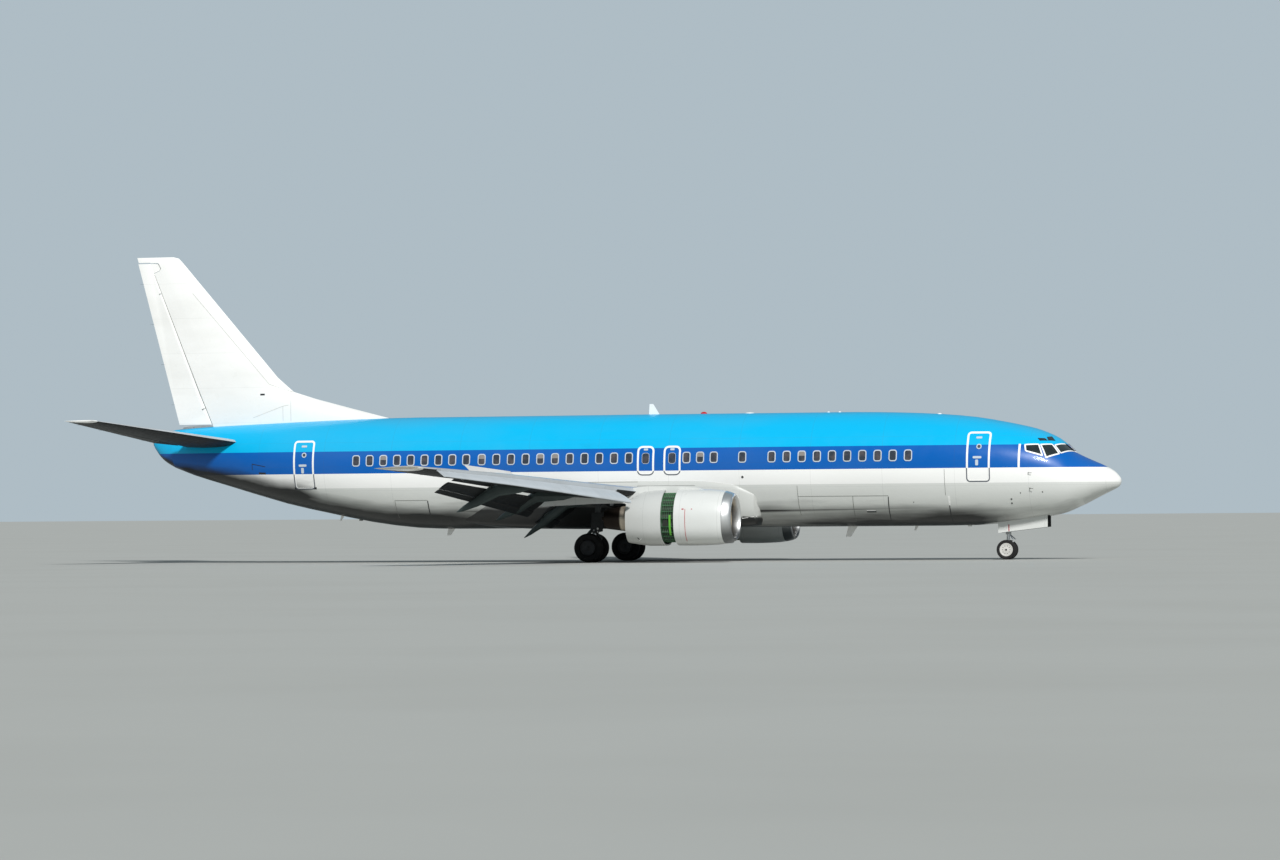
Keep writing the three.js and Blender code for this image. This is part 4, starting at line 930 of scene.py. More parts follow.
def cockpit_windows():
    """Windscreen, side and overhead panes of the flight deck, in white frames."""
    skin = skin_of("fuselage")
    panes = []
    for number, corners in enumerate(PANES):
        border = PANE_BORDER if number < 3 else BROW_BORDER
        bpy.ops.mesh.primitive_circle_add(vertices=4, fill_type="NGON")
        pane = bpy.context.object
        middle = sum((Vector(c) for c in corners), Vector()) / 4
        for vertex, corner in zip(pane.data.vertices, reversed(corners)):
            away = Vector(corner) - middle
            vertex.co = Vector(corner) + away.normalized() * border * 1.3
        edit(
            pane,
            lambda: bpy.ops.mesh.bevel(offset=border * 0.9, affect="VERTICES", segments=3),
            lambda: bpy.ops.mesh.inset(thickness=border),
        )
        framed(pane, "white" if number < 3 else "cockpit", "cockpit")
        edit(
            pane,
            lambda: bpy.ops.mesh.quads_convert_to_tris(),
            lambda: bpy.ops.mesh.subdivide(number_cuts=4),
        )
        panes.append(pane)
    windows = joined(panes)
    laid_on(windows, skin, 0.008, "NEAREST_SURFACEPOINT", 0.005)
    pair(windows, "cockpit_windows", degrees=40)
    arm = ribbon((16.60, -0.13, 3.74), (16.36, -0.30, 3.96), 0.025, "dark", (0.8, -0.3, 0.5))
    blade_strip = ribbon((16.62, -0.20, 3.72), (16.30, -0.33, 3.97), 0.012, "rubber", (0.8, -0.3, 0.5))
    wiper = joined([arm, blade_strip])
    laid_on(wiper, skin, 0.012, "NEAREST_SURFACEPOINT", 0.018)
    pair(wiper, "windscreen_wiper")


# Lines on the hull. Columns: x and z of both ends, width, finish
BOTH_SIDES = [
    (14.915, 3.17, 14.915, 4.0, 0.075, "white"),
    (7.13, 2.62, 7.13, 1.6, 0.012, "seam"),
    (12.35, 3.15, 12.35, 2.25, 0.012, "seam"),
    (7.13, 2.25, 9.07, 2.25, 0.010, "seam"),
]
# The cargo doors, dark streaks and the intake door at the tail are on the right side only
RIGHT_SIDE = [
    (9.075, 2.25, 9.03, 1.37, 0.016, "seam"),
    (9.075, 2.25, 10.33, 2.25, 0.012, "seam"),
    (9.03, 1.37, 10.27, 1.37, 0.016, "dark"),
    (10.33, 2.22, 10.27, 1.37, 0.030, "dark"),
    (9.50, 1.70, 9.83, 1.70, 0.045, "dark"),
    (9.50, 1.74, 9.81, 1.74, 0.022, "white"),
    (12.455, 2.23, 12.455, 1.90, 0.075, "white"),
    (12.445, 1.90, 12.43, 1.31, 0.030, "dark"),
    (-7.56, 2.22, -6.33, 2.22, 0.010, "seam"),
    (-7.56, 2.22, -7.56, 1.6, 0.012, "seam"),
    (-6.33, 2.20, -6.34, 1.66, 0.035, "dark"),
    (-7.10, 1.70, -6.64, 1.70, 0.030, "dark"),
    (-11.37, 2.685, -10.50, 2.685, 0.075, "dark"),
    (-12.97, 3.57, -12.98, 3.36, 0.020, "dark"),
    (-12.97, 3.57, -12.45, 3.47, 0.020, "dark"),
    (-12.72, 3.24, -12.45, 3.23, 0.060, "dark"),
]
FAIRING_LINES = [
    (-0.83, 2.80, 1.44, 2.80, 0.010, "seam"),
    (1.44, 2.66, 3.51, 2.66, 0.010, "seam"),
    (1.44, 2.66, 1.44, 2.45, 0.010, "seam"),
    # The ram-air inlet at the fairing's front: a dark line as painted shade in its mouth, and a white line
    # across it as a painted highlight on its lip
    (5.16, 1.545, 5.60, 1.50, 0.050, "dark"),
    (5.13, 1.500, 5.62, 1.57, 0.022, "white"),
]
# Round marks. Columns: x, z, radius
PORTS = [
    (14.61, 2.10, 0.030),
    (14.61, 1.96, 0.030),
    (14.94, 2.31, 0.020),
    (15.69, 2.34, 0.022),
    (5.20, 2.94, 0.045),
    (11.2, 2.02, 0.018),
]
# Air data probes. Columns: x, z
PROBES = [(15.224, 2.998), (15.257, 2.475)]


def hull_details():
    """Lines, ports and probes on the sides of the hull."""
    marks("hull_lines", BOTH_SIDES, "fuselage")
    marks("cargo_door_lines", RIGHT_SIDE, "fuselage", both=False)
    marks("fairing_lines", FAIRING_LINES, "belly_fairing")
    ports = []
    for x, z, radius in PORTS:
        bpy.ops.mesh.primitive_circle_add(
            vertices=12, radius=radius, fill_type="NGON", location=(x, BESIDE, z), rotation=UPRIGHT
        )
        port = applied(bpy.context.object)
        edit(port, lambda radius=radius: bpy.ops.mesh.inset(thickness=radius * 0.3))
        ports.append(framed(port, "seam", "dark"))
    ports = joined(ports)
    laid_on(ports, skin_of("fuselage"), 0.004)
    pair(ports, "static_ports")
    probes = []
    for x, z in PROBES:
        foot, normal = touch("fuselage", (x, BESIDE, z), (0, 1, 0))
        knee = foot + normal * 0.06 + Vector((0.03, 0, 0))
        probes.append(rod(foot - normal * 0.02, knee, 0.014))
        probes.append(rod(knee - Vector((0.02, 0, 0)), knee + Vector((0.10, 0, 0)), 0.009))
    probes = joined(probes)
    pair(probes, "air_data_probes", ["dark"])


# Wings and tail

WING_TIP = 14.3  # the tips of the wings and the tailplane are white past these
TAIL_TIP = 6.2
TIP_LAMP = (-3.45, -2.6)  # along the wing tip, under the lamp's cover


def wings():
    """Wings, slats, flaps, spoilers and ailerons in their paints."""
    for side, _ in SIDES:
        for node in ("wing", "aileron"):
            piece = dressed(f"{node}_{side}", ["wing_top", "shade_under", "white"], 30)
            # Undersides take painted shade
            paint_faces(piece, 1, lambda middle, normal: normal.z < -0.05)
            paint_faces(piece, 2, lambda middle, normal: abs(middle.y) > WING_TIP)
        for node in ("flap_outboard", "flap_inboard"):
            piece = dressed(f"{node}_{side}", ["wing_top", "shade_under", "track"], 30)
            # Lower and side faces of the flaps, and the sides of the track fairings, take painted shade
            paint_faces(piece, 1, lambda middle, normal: normal.z < 0.35)
            paint_faces(piece, 2, on_track)
        for node in ("slats", "nose_flaps"):
            piece = dressed(f"{node}_{side}", ["slat", "shade_under"], 30)
            # The slats' lower faces take painted shade
            paint_faces(piece, 1, lambda middle, normal: normal.z < -0.2 and normal.x < 0)
        dressed(f"spoilers_{side}", ["spoiler"], 30)


# Middle of each flap track fairing across the aircraft, and half its width
TRACKS = [(8.45, 0.13), (6.0, 0.145), (4.13, 0.13)]


def on_track(middle, normal):
    """Faces of the fairings that cover the flap tracks."""
    return any(abs(abs(middle.y) - y) < half for y, half in TRACKS) and abs(normal.y) > 0.2


def wing_details(side):
    """The clear cover of the lamp on a wing tip, and the static wicks."""
    only(skin_of(f"wing_{side}"))
    bpy.ops.object.duplicate()
    cover = bpy.context.object
    cover.data.materials.clear()
    for key in list(cover.keys()):
        del cover[key]
    aft, fore = TIP_LAMP
    pick_faces(cover, lambda face: abs(face.center.y) <= WING_TIP or not aft < face.center.x < fore)
    bpy.ops.mesh.delete(type="FACE")
    mode("OBJECT")
    apply_modifier(cover, "SOLIDIFY", thickness=0.004, offset=0)
    for vertex in cover.data.vertices:
        vertex.co.y = min(max(vertex.co.y, -HALF_SPAN), HALF_SPAN)
    settle(cover, f"wing_tip_cover_{side}", ["clear_lamp"], "airframe")
    wicks(f"aileron_{side}", 1, 4)
    wicks(f"elevator_{side}", 1, 4)


# Lines on the fin, as on the hull
FIN_LINES = [
    (-11.84, 6.17, -11.84, 5.12, 0.016, "faint"),
    (-12.14, 5.66, -12.14, 5.12, 0.014, "faint"),
    (-11.92, 5.70, -12.14, 5.66, 0.014, "faint"),
    (-12.14, 5.66, -13.30, 5.25, 0.012, "faint"),
    (-15.60, 9.80, -12.674, 6.46, 0.016, "faint"),
    (-12.674, 6.46, -11.84, 6.17, 0.016, "faint"),
    (-13.0, 6.09, -12.83, 6.09, 0.060, "dark"),
]


def tail():
    """Fin, rudder, tailplane and elevators."""
    dressed("fin", ["fin"], 30)
    dressed("rudder", ["fin"], 30)
    for side, _ in SIDES:
        for node in ("stabiliser", "elevator"):
            piece = dressed(f"{node}_{side}", ["wing_top", "shade_under", "white"], 30)
            # Undersides take painted shade
            paint_faces(piece, 1, lambda middle, normal: normal.z < -0.05)
            paint_faces(piece, 2, lambda middle, normal: abs(middle.y) > TAIL_TIP)
    marks("fin_lines", FIN_LINES, "fin", y=-0.8)
    wicks("rudder", 2, 4)


# Engines

SPINNER = 0.268
NACELLE_SIDE = -6.3  # marks on a cowl are made upright here, right of the engine


def engines():
    """Nacelles, cascades, fans, exhausts and pylons."""
    for side, sign in SIDES:
        axis = Vector((0, ENGINE.y * sign, ENGINE.z))
        curved(dressed(f"inlet_lip_{side}", ["polished"], 50), 50)
        cowl = dressed(f"fan_cowl_{side}", ["nacelle", "liner"], 40)
        sleeve = dressed(f"reverser_sleeve_{side}", ["sleeve", "aluminium"], 40)
        for piece in (cowl, sleeve):
            curved(piece, 40)
            paint_faces(piece, 1, lambda middle, normal: outwards(middle, normal, axis) < -0.1)
        clear_slot(sleeve, axis)
        cascades(side, axis)
        dressed(f"engine_core_{side}", ["hot"], 40)
        fan = dressed(f"fan_{side}", ["titanium", "spinner"], 30)
        paint_faces(fan, 1, lambda middle, normal: (middle - axis).yz.length < SPINNER)
        dressed(f"pylon_{side}", ["nacelle", "shade_under"], 30)
        strake(side, sign)
    marks("cowl_marks", COWL_MARKS, "fan_cowl_right", NACELLE_SIDE)
    latch = marks("sleeve_latch", SLEEVE_MARKS, "reverser_sleeve_right", NACELLE_SIDE, "right_reverser")
    smooth(latch, 40)


def clear_slot(sleeve, axis):
    """Keeps a sleeve's slot as wide as the frame's, so that it slides clear of the pylon."""
    for vertex in sleeve.data.vertices:
        off = vertex.co.y - axis.y
        if vertex.co.z > axis.z and abs(off) < SLOT_HALF:
            vertex.co.y = axis.y + math.copysign(SLOT_HALF, off)


def outwards(middle, normal, axis):
    """How much a face looks away from an engine's axis: below zero on a duct's inner wall."""
    return (middle.y - axis.y) * normal.y + (middle.z - axis.z) * normal.z


# Lines on the engine, as on the hull
COWL_MARKS = [
    (4.10, 1.84, 4.10, 0.74, 0.018, "red_mark"),
    (3.98, 1.836, 4.05, 1.836, 0.040, "red_mark"),
    (4.31, 1.836, 4.35, 1.836, 0.030, "red_mark"),
]
SLEEVE_MARKS = [
    (2.36, 0.87, 2.42, 0.80, 0.030, "dark"),
    (2.40, 0.78, 2.50, 0.84, 0.022, "white"),
]


def strake(side, sign):
    """The small fin on the inboard side of a cowl, which steadies the air over the wing."""
    away = Vector((0, -sign * 0.72, 0.69)).normalized()
    base = Vector((4.4, ENGINE.y * sign, ENGINE.z))
    foot, normal = touch(f"fan_cowl_{side}", base + away * 2, -away)
    fin = blade((0, 0, -0.03), 0.80, 0.19, 0.02, sweep=1.2)
    fin.rotation_euler = (math.atan2(-normal.y, normal.z), 0, 0)
    fin.location = foot
    settle(fin, f"cowl_strake_{side}", ["nacelle"], "airframe")


# Where the cascades' outline bends, and how many rows of vanes stand in front of that
CASCADE_BEND = 3.23
CASCADE_ROWS = 7
CASCADE_FRAME = 0.012
VANE_THICKNESS = 0.005
VANE_DEPTH = 0.035


def cascades(side, axis):
    """Cascade boxes round the fan duct: green frames with turning vanes set in them."""
    node = f"reverser_cascades_{side}"
    piece = dressed(node, ["green", "cavity"], 20)
    low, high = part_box(node)
    jack = joined(
        [
            ribbon((3.54, NACELLE_SIDE, 1.64), (3.54, NACELLE_SIDE, 0.95), 0.065, "bright_green"),
            ribbon((3.385, NACELLE_SIDE, 1.47), (3.385, NACELLE_SIDE, 1.26), 0.16, "cavity"),
        ]
    )
    if side == "left":
        for vertex in jack.data.vertices:
            vertex.co.y *= -1
        edit(jack, lambda: bpy.ops.mesh.flip_normals())
    laid_on(jack, piece, 0.008, gap=0.004)
    settle(jack, f"reverser_jack_{side}", [], frame["nodes"][node]["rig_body"])

    def outer(face):
        return outwards(face.center, face.normal, axis) > 0.5 and abs(face.normal.x) < 0.3

    pick_faces(piece, outer)
    bpy.ops.mesh.inset(thickness=CASCADE_FRAME, use_individual=True)
    mode("OBJECT")
    rows = [(low.x + CASCADE_BEND) / 2]
    rows += [CASCADE_BEND + (high.x - CASCADE_BEND) * i / CASCADE_ROWS for i in range(1, CASCADE_ROWS)]
    for row in rows:
        pick_faces(piece, outer)
        bpy.ops.mesh.bisect(plane_co=(row, 0, 0), plane_no=(1, 0, 0))
        mode("OBJECT")
    first, last = low.x + CASCADE_FRAME, high.x - CASCADE_FRAME
    pick_faces(piece, lambda face: outer(face) and first < face.center.x < last)
    bpy.ops.mesh.inset(thickness=VANE_THICKNESS, use_individual=True)
    bpy.ops.mesh.extrude_faces_move(TRANSFORM_OT_shrink_fatten={"value": -VANE_DEPTH})
    mode("OBJECT")
    # The sunk vane faces take the cavity finish: painted shade in the cells
    for face in piece.data.polygons:
        if face.select:
            face.material_index = 1


# Landing gear

MAIN_RIM = 0.268
NOSE_RIM = 0.232
# Shares of the rim's radius: the circle of holes, one hole, the dark end of the axle
HOLE_CIRCLE, HOLE_SIZE, HUB_SIZE = 0.58, 0.075, 0.16
# Tyre outline: share of the way from 0 to the tread, share of the half width; four grooves
TYRE_OUTLINE = [
    (0.50, -0.62), (0.56, -0.82), (0.70, -0.97), (0.82, -1.0), (0.92, -0.93), (0.97, -0.80),
    (0.99, -0.64), (0.965, -0.62), (0.965, -0.54), (0.995, -0.52), (1.0, -0.22), (0.97, -0.20),
    (0.97, -0.12), (1.0, -0.10), (1.0, 0.10), (0.97, 0.12), (0.97, 0.20), (1.0, 0.22),
    (0.995, 0.52), (0.965, 0.54), (0.965, 0.62), (0.99, 0.64), (0.97, 0.80), (0.92, 0.93),
    (0.82, 1.0), (0.70, 0.97), (0.56, 0.82), (0.50, 0.62),
]
# Outer face of a wheel: share of the rim's radius, share of the tyre's half width
FACE_OUTLINE = [
    (0, 0.5), (0, 0.97), (0.12, 0.97), (0.15, 0.93), (0.19, 0.90), (0.26, 0.86), (0.80, 0.86),
    (0.86, 0.90), (0.90, 0.99), (0.97, 1.0), (1.0, 0.94), (1.0, 0.5),
]


def wheel(tyre_node, out, rim, holes, paint):
    """A tyre with a grooved tread, and the outer face of its wheel with a ring of holes."""
    low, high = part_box(tyre_node)
    middle, half = (low + high) / 2, (high.y - low.y) / 2
    radius = (high.x - low.x) / 2 - 0.0001
    bead = rim * 0.98 / radius
    points = [
        (radius * (bead + (share - 0.5) * (1 - bead) / 0.5), half * across) for share, across in TYRE_OUTLINE
    ]
    body = frame["nodes"][tyre_node]["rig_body"]
    tyre = turned(points, middle, "Y", 56)
    settle(tyre, tyre_node + "_surface", ["rubber"], body)
    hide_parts(tyre_node)
    smooth(tyre, 30)
    face = turned([(rim * share, out * half * across) for share, across in FACE_OUTLINE], middle, "Y", 40)
    pieces = [face]
    # Each hole is a dark disc on the face: painted shade in the hole
    for i in range(holes):
        angle = 2 * math.pi * i / holes
        spot = middle + Vector((math.cos(angle), 0, math.sin(angle))) * rim * HOLE_CIRCLE
        start = spot + Vector((0, out * half * 0.8, 0))
        pieces.append(rod(start, spot + Vector((0, out * half * 0.875, 0)), rim * HOLE_SIZE))
    for number, piece in enumerate(pieces):
        piece.data.materials.append(finish(paint if number == 0 else "dark"))
    face = joined(list(reversed(pieces)))
    dark = [i for i, slot in enumerate(face.data.materials) if slot == finish("dark")][0]
    for polygon in face.data.polygons:
        near = polygon.center - middle
        if math.hypot(near.x, near.z) < rim * HUB_SIZE:
            polygon.material_index = dark
    settle(face, tyre_node.replace("tyre", "wheel_face"), [], body)
    smooth(face, 30)


def near_line(point, start, end, reach):
    """Whether a point lies within reach of the line between two points."""
    start, end = Vector(start), Vector(end)
    share = max(0, min(1, (point - start).dot(end - start) / (end - start).length_squared))
    return (point - start.lerp(end, share)).length < reach


# Hoses, lamps and fittings on the left main gear: both ends, radius, finish
MAIN_FITTINGS = [
    ((0.18, 2.52, 1.60), (0.17, 2.50, 1.02), 0.014, "rubber"),
    ((0.17, 2.50, 1.02), (0.06, 2.48, 0.66), 0.014, "rubber"),
    ((0.20, 2.67, 1.60), (0.18, 2.68, 1.04), 0.012, "rubber"),
    ((0.18, 2.68, 1.04), (0.07, 2.72, 0.64), 0.012, "rubber"),
    ((0.20, 2.735, 1.18), (0.20, 2.750, 1.18), 0.038, "white"),
    ((0.20, 2.735, 1.06), (0.20, 2.750, 1.06), 0.030, "white"),
    ((0.06, 2.45, 1.12), (0.06, 2.74, 1.12), 0.035, "gear"),
]


def main_gear():
    """Main legs, wheels, tyres and hoses."""
    for side, sign in SIDES:
        leg = dressed(f"main_gear_leg_{side}", ["dust_shade_gear", "steel", "shade_under"], 40)
        foot, knee = (-0.05, 2.615 * sign, 0.508), (0.075, 2.59 * sign, 1.0)
        paint_faces(leg, 1, lambda middle, normal: middle.z > 0.64 and near_line(middle, foot, knee, 0.08))
        # The leg's upper outer panel takes painted shade
        paint_faces(leg, 2, lambda middle, normal: abs(middle.y) > 2.71 and middle.z > 1.03)
        dressed(f"main_wheels_{side}", ["dust_shade_hub"], 40)
        wheel(f"main_tyre_outer_{side}", sign, MAIN_RIM, 8, "dust_shade_hub")
        wheel(f"main_tyre_inner_{side}", -sign, MAIN_RIM, 8, "dust_shade_hub")
        fittings(f"main_gear_fittings_{side}", MAIN_FITTINGS, sign, "airframe")


def fittings(name, rows, sign, body):
    """Rods of several finishes as one piece."""
    pieces = []
    for start, end, radius, key in rows:
        (x1, y1, z1), (x2, y2, z2) = start, end
        piece = rod((x1, y1 * sign, z1), (x2, y2 * sign, z2), radius)
        piece.data.materials.append(finish(key))
        pieces.append(piece)
    settle(joined(pieces), name, [], body)


# The same for the nose gear: first what is fixed, then what steers
NOSE_FITTINGS = [
    ((14.24, -0.20, 1.16), (14.24, 0.20, 1.16), 0.032, "gear"),
    ((14.36, 0.085, 1.06), (14.40, 0.085, 1.06), 0.058, "clear_lamp"),
    ((14.28, 0.085, 1.06), (14.362, 0.085, 1.06), 0.050, "dark"),
    ((14.18, -0.11, 1.00), (14.18, 0.16, 1.00), 0.030, "blue_fitting"),
    ((14.19, 0.10, 1.55), (14.19, 0.10, 1.02), 0.012, "rubber"),
    ((14.19, -0.10, 1.55), (14.19, -0.10, 1.02), 0.012, "rubber"),
    ((14.30, -0.13, 1.55), (14.32, -0.11, 1.10), 0.012, "aluminium"),
]
STEERED_FITTINGS = [
    ((14.28, -0.09, 0.40), (14.36, -0.09, 0.36), 0.020, "gear"),
    ((14.28, 0.09, 0.40), (14.36, 0.09, 0.36), 0.020, "gear"),
    ((14.20, 0.07, 0.88), (14.18, 0.08, 0.45), 0.010, "rubber"),
    ((14.33, -0.05, 0.84), (14.42, -0.04, 0.70), 0.010, "blue_fitting"),
]


def nose_gear():
    """Nose leg, steered fork, wheels, tyres, lamp and doors."""
    dressed("nose_gear_leg", ["gear"], 40)
    fork = dressed("nose_gear_fork", ["gear", "steel"], 40)
    paint_faces(fork, 1, lambda middle, normal: 0.55 < middle.z < 0.86 and abs(middle.x - 14.26) < 0.056)
    dressed("nose_wheels", ["hub"], 40)
    wheel("nose_tyre_outer", 1, NOSE_RIM, 10, "hub")
    wheel("nose_tyre_inner", -1, NOSE_RIM, 10, "hub")
    fittings("nose_gear_fittings", NOSE_FITTINGS, 1, "airframe")
    fittings("steered_fittings", STEERED_FITTINGS, 1, frame["nodes"]["nose_gear_fork"]["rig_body"])
    for side, sign in SIDES:
        door = dressed(f"nose_gear_door_{side}", ["nacelle", "shade_under"], 30)
        # The doors' inner faces take painted shade
        paint_faces(door, 1, lambda middle, normal, sign=sign: normal.y * sign < 0.5)
    rows = [(14.34, 0.99, 14.34, 1.22, 0.030, "red_mark"), (14.29, 0.985, 14.29, 1.21, 0.014, "white")]
    marks("door_edge", rows, "nose_gear_door_right", y=-0.6)


# Roof and belly

VENT_HEIGHT = 4.386


def dome(name, x, radius, height, key, up=1, long=1.0):
    """A low round cover on the middle line of the roof or belly."""
    carrier = "fuselage" if up > 0 or x > 6 or x < -5.5 else "belly_fairing"
    foot, _ = touch(carrier, (x, 0, 3 + up * 4), (0, 0, -up))
    arc = [(radius * math.cos(a), height * math.sin(a)) for a in (0, 0.35, 0.7, 1.05, 1.35, math.pi / 2)]
    points = [(0, -0.02)] + [(radius, -0.02)] + [(r, h) for r, h in arc]
    piece = turned([(max(r, 0), up * h) for r, h in points], (0, 0, 0), "Z", 24)
    piece.scale.x = long
    piece.location = foot
    settle(piece, name, [key], "airframe")
    smooth(piece, 50)


def roof_and_belly():
    """Aerials, beacons, domes, drain masts and the vent at the tail."""
    dressed("roof_aerial", ["white"], 40)
    dome("roof_beacon", 3.40, 0.075, 0.075, "red_lamp", long=1.6)
    dome("belly_beacon", 2.2, 0.075, 0.08, "red_lamp", up=-1, long=1.3)
    dome("roof_dome", 5.06, 0.17, 0.035, "white")
    dome("roof_bump_front", 8.3, 0.05, 0.03, "white")
    dome("roof_bump_rear", 7.9, 0.05, 0.03, "white")
    dome("forward_roof_bump", 11.86, 0.08, 0.03, "white")
    for name, x, y, high, chord in (
        ("belly_aerial", 8.75, 0, 0.38, 0.34),
        ("rear_belly_aerial", -5.9, 0, 0.26, 0.26),
        ("drain_mast_front", 11.0, 0.25, 0.20, 0.12),
        ("drain_mast_rear", -9.9, -0.25, 0.20, 0.12),
    ):
        foot, _ = touch("fuselage", (x, y, 0.2), (0, 0, 1))
        mast = blade(foot + Vector((0, 0, 0.02)), chord, high, 0.028, sweep=0.45, up=-1)
        settle(mast, name, ["white"], "airframe")
    ring = [(0, 0.04), (0, -0.025), (0.105, -0.025), (0.118, -0.05)]
    ring += [(0.132, -0.05), (0.145, -0.02), (0.15, 0.04)]
    vent = turned(ring, (-17.08, 0, VENT_HEIGHT), "X", 32)
    settle(vent, "tail_vent", ["hot", "cavity"], "airframe")
    paint_faces(vent, 1, lambda middle, normal: math.hypot(middle.y, middle.z - VENT_HEIGHT) < 0.1)
    smooth(vent, 40)


LAST_WICK = -18.08  # a wick further aft would stand out past the aircraft's end


def trailing_line(piece, axis):
    """The two ends of a control surface's trailing edge."""
    spots = sorted((vertex.co.copy() for vertex in piece.data.vertices), key=lambda co: co[axis])
    near = [co for co in spots if co[axis] < spots[0][axis] + 0.05]
    far = [co for co in spots if co[axis] > spots[-1][axis] - 0.05]
    return min(near, key=lambda co: co.x), min(far, key=lambda co: co.x)


def wicks(node, axis, count):
    """Rods on a trailing edge that let static charge off into the air."""
    start, end = trailing_line(skin_of(node), axis)
    rods = []
    for i in range(count):
        spot = start.lerp(end, (i + 0.5) / count)
        if spot.x > LAST_WICK:
            rods.append(rod(spot + Vector((0.03, 0, 0)), spot - Vector((0.12, 0, 0)), 0.003, 6))
    settle(joined(rods), f"static_wicks_{node}", ["dark"], frame["nodes"][node]["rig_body"])


# Stage

CAMERA_TURN = 14.1
CAMERA_AHEAD = 1.065
CAMERA_PITCH = 0.94
CAMERA_ROLL = -0.43


def stage():
    """Floor, light and camera."""
    settings = bpy.context.scene.airliner_stage
    bpy.ops.mesh.primitive_plane_add(size=1600, location=(0, 300, 0))
    floor = bpy.context.object
    floor.name = "studio_floor"
    floor.data.materials.append(finish("floor"))
    world = bpy.data.worlds.new("soft_studio_air")
    bpy.context.scene.world = world
    world.use_nodes = True
    nodes = world.node_tree.nodes
    light = nodes["Background"]
    seen = nodes.new("ShaderNodeBackground")
    for node, strength in ((light, settings.fill), (seen, 0.85)):
        node.inputs["Color"].default_value = settings.backdrop
        node.inputs["Strength"].default_value = strength
    either = nodes.new("ShaderNodeMixShader")
    rays = nodes.new("ShaderNodeLightPath")
    world.node_tree.links.new(rays.outputs["Is Camera Ray"], either.inputs[0])
    world.node_tree.links.new(light.outputs[0], either.inputs[1])
    world.node_tree.links.new(seen.outputs[0], either.inputs[2])
    world.node_tree.links.new(either.outputs[0], nodes["World Output"].inputs["Surface"])
    bpy.ops.object.light_add(type="SUN", location=(30, -60, 60))
    key = bpy.context.object
    key.name = "studio_key"
    key.data.energy = settings.key
    key.data.angle = math.radians(9)
    key.rotation_euler = Vector((0.46, -0.88, 0.80)).to_track_quat("Z", "Y").to_euler()
    turn = math.radians(CAMERA_TURN)
    ahead = Vector((-math.sin(turn), math.cos(turn), math.tan(math.radians(CAMERA_PITCH))))
    eye = Vector((CAMERA_AHEAD, 0, settings.eye)) - settings.distance * Vector((ahead.x, ahead.y, 0))
    bpy.ops.object.camera_add(location=eye)
    camera = bpy.context.object
    camera.name = "photo_camera"
    camera.data.sensor_width = 36.0
    camera.data.lens = settings.lens
    camera.data.clip_end = 3000
    roll = Vector((0, 0, 1)), math.radians(CAMERA_ROLL)
    view = ahead.to_track_quat("-Z", "Y")
    camera.rotation_mode = "QUATERNION"
    camera.rotation_quaternion = view @ Quaternion(*roll)
    bpy.context.scene.camera = camera
    bpy.context.scene.view_settings.view_transform = "Standard"


class AIRLINER_OT_hull(bpy.types.Operator):
    """Fuselage, radome, tail cone and belly fairing in their striped paint."""

    bl_idname = "airliner.hull"
    bl_label = "Hull"

    def execute(self, context):
        hull()
        return {"FINISHED"}


class AIRLINER_OT_cabin_windows(bpy.types.Operator):
    """Cabin windows on both sides."""

    bl_idname = "airliner.cabin_windows"
    bl_label = "Cabin windows"

    def execute(self, context):
        cabin_windows()
        return {"FINISHED"}


class AIRLINER_OT_doors(bpy.types.Operator):
    """Outlines, windows and handles of the doors and overwing exits."""

    bl_idname = "airliner.doors"
    bl_label = "Doors and exits"

    def execute(self, context):
        doors_and_exits()
        return {"FINISHED"}


class AIRLINER_OT_cockpit(bpy.types.Operator):
    """Panes of the flight deck, in white frames, and the wipers."""

    bl_idname = "airliner.cockpit"
    bl_label = "Cockpit windows"

    def execute(self, context):
        cockpit_windows()
        return {"FINISHED"}


class AIRLINER_OT_hull_details(bpy.types.Operator):
    """Lines, ports and probes on the sides of the hull."""

    bl_idname = "airliner.hull_details"
    bl_label = "Hull details"

    def execute(self, context):
        hull_details()
        return {"FINISHED"}


class AIRLINER_OT_wings(bpy.types.Operator):
    """Wings, slats, flaps, spoilers and ailerons."""

    bl_idname = "airliner.wings"
    bl_label = "Wings"

    def execute(self, context):
        wings()
        return {"FINISHED"}


class AIRLINER_OT_tail(bpy.types.Operator):
    """Fin, rudder, tailplane and elevators."""

    bl_idname = "airliner.tail"
    bl_label = "Tail"

    def execute(self, context):
        tail()
        return {"FINISHED"}


class AIRLINER_OT_wing_tips(bpy.types.Operator):
    """Covers of the lamps on the wing tips, and the static wicks."""

    bl_idname = "airliner.wing_tips"
    bl_label = "Wing tips and wicks"

    def execute(self, context):
        for side, _ in SIDES:
            wing_details(side)
        return {"FINISHED"}


class AIRLINER_OT_engines(bpy.types.Operator):
    """Nacelles, cascades, fans, exhausts and pylons."""

    bl_idname = "airliner.engines"
    bl_label = "Engines"

    def execute(self, context):
        engines()
        return {"FINISHED"}


class AIRLINER_OT_main_gear(bpy.types.Operator):
    """Main legs, wheels, tyres and hoses."""

    bl_idname = "airliner.main_gear"
    bl_label = "Main gear"

    def execute(self, context):
        main_gear()
        return {"FINISHED"}


class AIRLINER_OT_nose_gear(bpy.types.Operator):
    """Nose leg, fork, wheels, tyres, lamp and doors."""

    bl_idname = "airliner.nose_gear"
    bl_label = "Nose gear"

    def execute(self, context):
        nose_gear()
        return {"FINISHED"}


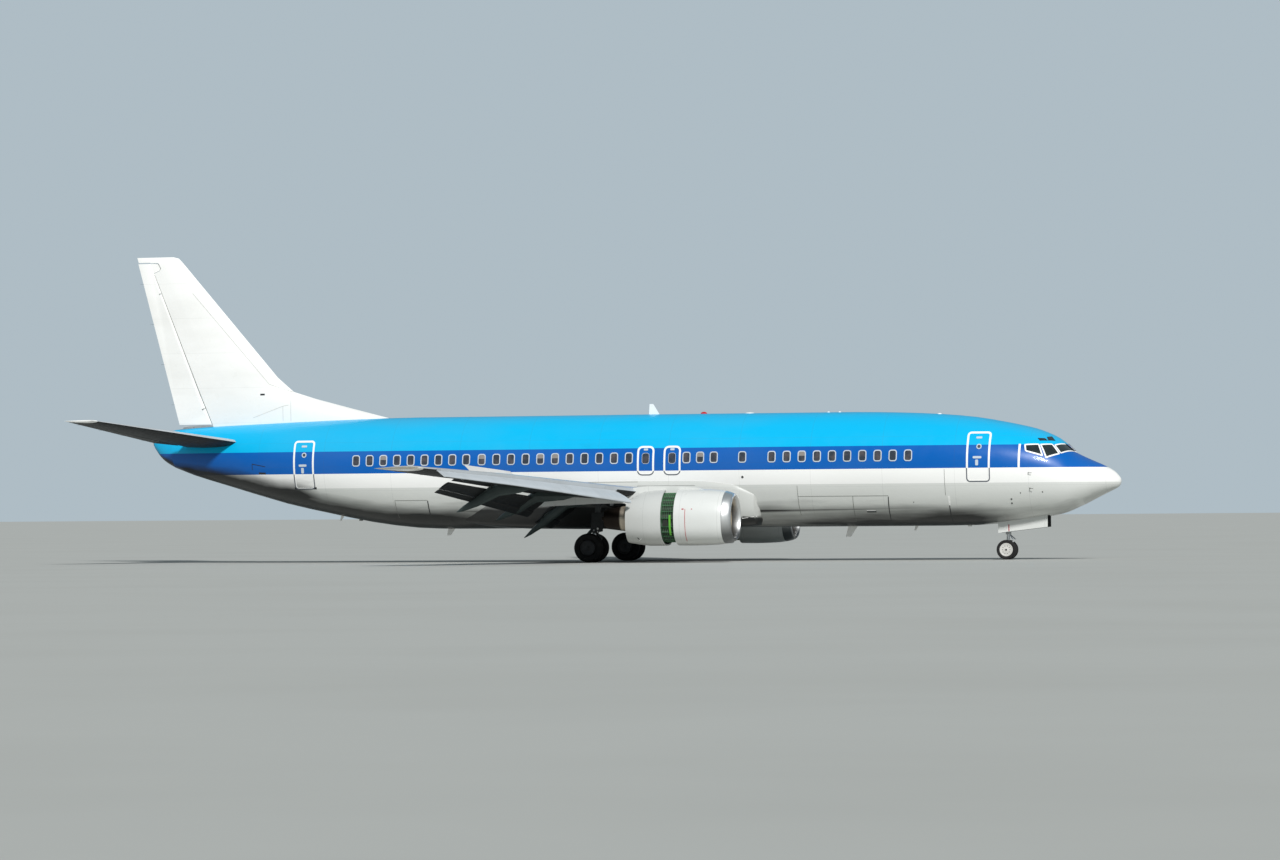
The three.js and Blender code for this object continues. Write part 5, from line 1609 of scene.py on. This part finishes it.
class AIRLINER_OT_roof_and_belly(bpy.types.Operator):
    """Aerials, beacons, domes, drain masts and the vent at the tail."""

    bl_idname = "airliner.roof_and_belly"
    bl_label = "Roof and belly"

    def execute(self, context):
        roof_and_belly()
        return {"FINISHED"}


class AIRLINER_OT_stage(bpy.types.Operator):
    """Floor, light and camera."""

    bl_idname = "airliner.stage"
    bl_label = "Stage"

    def execute(self, context):
        stage()
        return {"FINISHED"}


# In the order in which they run
OPERATORS = [
    AIRLINER_OT_hull,
    AIRLINER_OT_cabin_windows,
    AIRLINER_OT_doors,
    AIRLINER_OT_cockpit,
    AIRLINER_OT_hull_details,
    AIRLINER_OT_wings,
    AIRLINER_OT_tail,
    AIRLINER_OT_wing_tips,
    AIRLINER_OT_engines,
    AIRLINER_OT_main_gear,
    AIRLINER_OT_nose_gear,
    AIRLINER_OT_roof_and_belly,
    AIRLINER_OT_stage,
]


class AIRLINER_PT_panel(bpy.types.Panel):
    """Lists the steps that finish the aircraft, with their sizes and colours."""

    bl_label = "Airliner"
    bl_idname = "AIRLINER_PT_panel"
    bl_space_type = "VIEW_3D"
    bl_region_type = "UI"
    bl_category = "Airliner"

    def draw(self, context):
        for group in ("airliner_paint", "airliner_cabin", "airliner_stage"):
            settings = getattr(context.scene, group)
            box = self.layout.box()
            for name in settings.bl_rna.properties.keys():
                if name not in ("rna_type", "name"):
                    box.prop(settings, name)
        for operator in OPERATORS:
            self.layout.operator(operator.bl_idname)


GROUPS = {
    "airliner_paint": AirlinerPaint,
    "airliner_cabin": AirlinerCabin,
    "airliner_stage": AirlinerStage,
}


def register():
    for cls in [*GROUPS.values(), *OPERATORS, AIRLINER_PT_panel]:
        bpy.utils.register_class(cls)
    for name, cls in GROUPS.items():
        setattr(bpy.types.Scene, name, bpy.props.PointerProperty(type=cls))


def unregister():
    for name in GROUPS:
        delattr(bpy.types.Scene, name)
    for cls in reversed([*GROUPS.values(), *OPERATORS, AIRLINER_PT_panel]):
        bpy.utils.unregister_class(cls)


def main():
    register()
    for operator in OPERATORS:
        getattr(bpy.ops.airliner, operator.bl_idname.split(".")[1])()


if __name__ == "__main__":
    main()
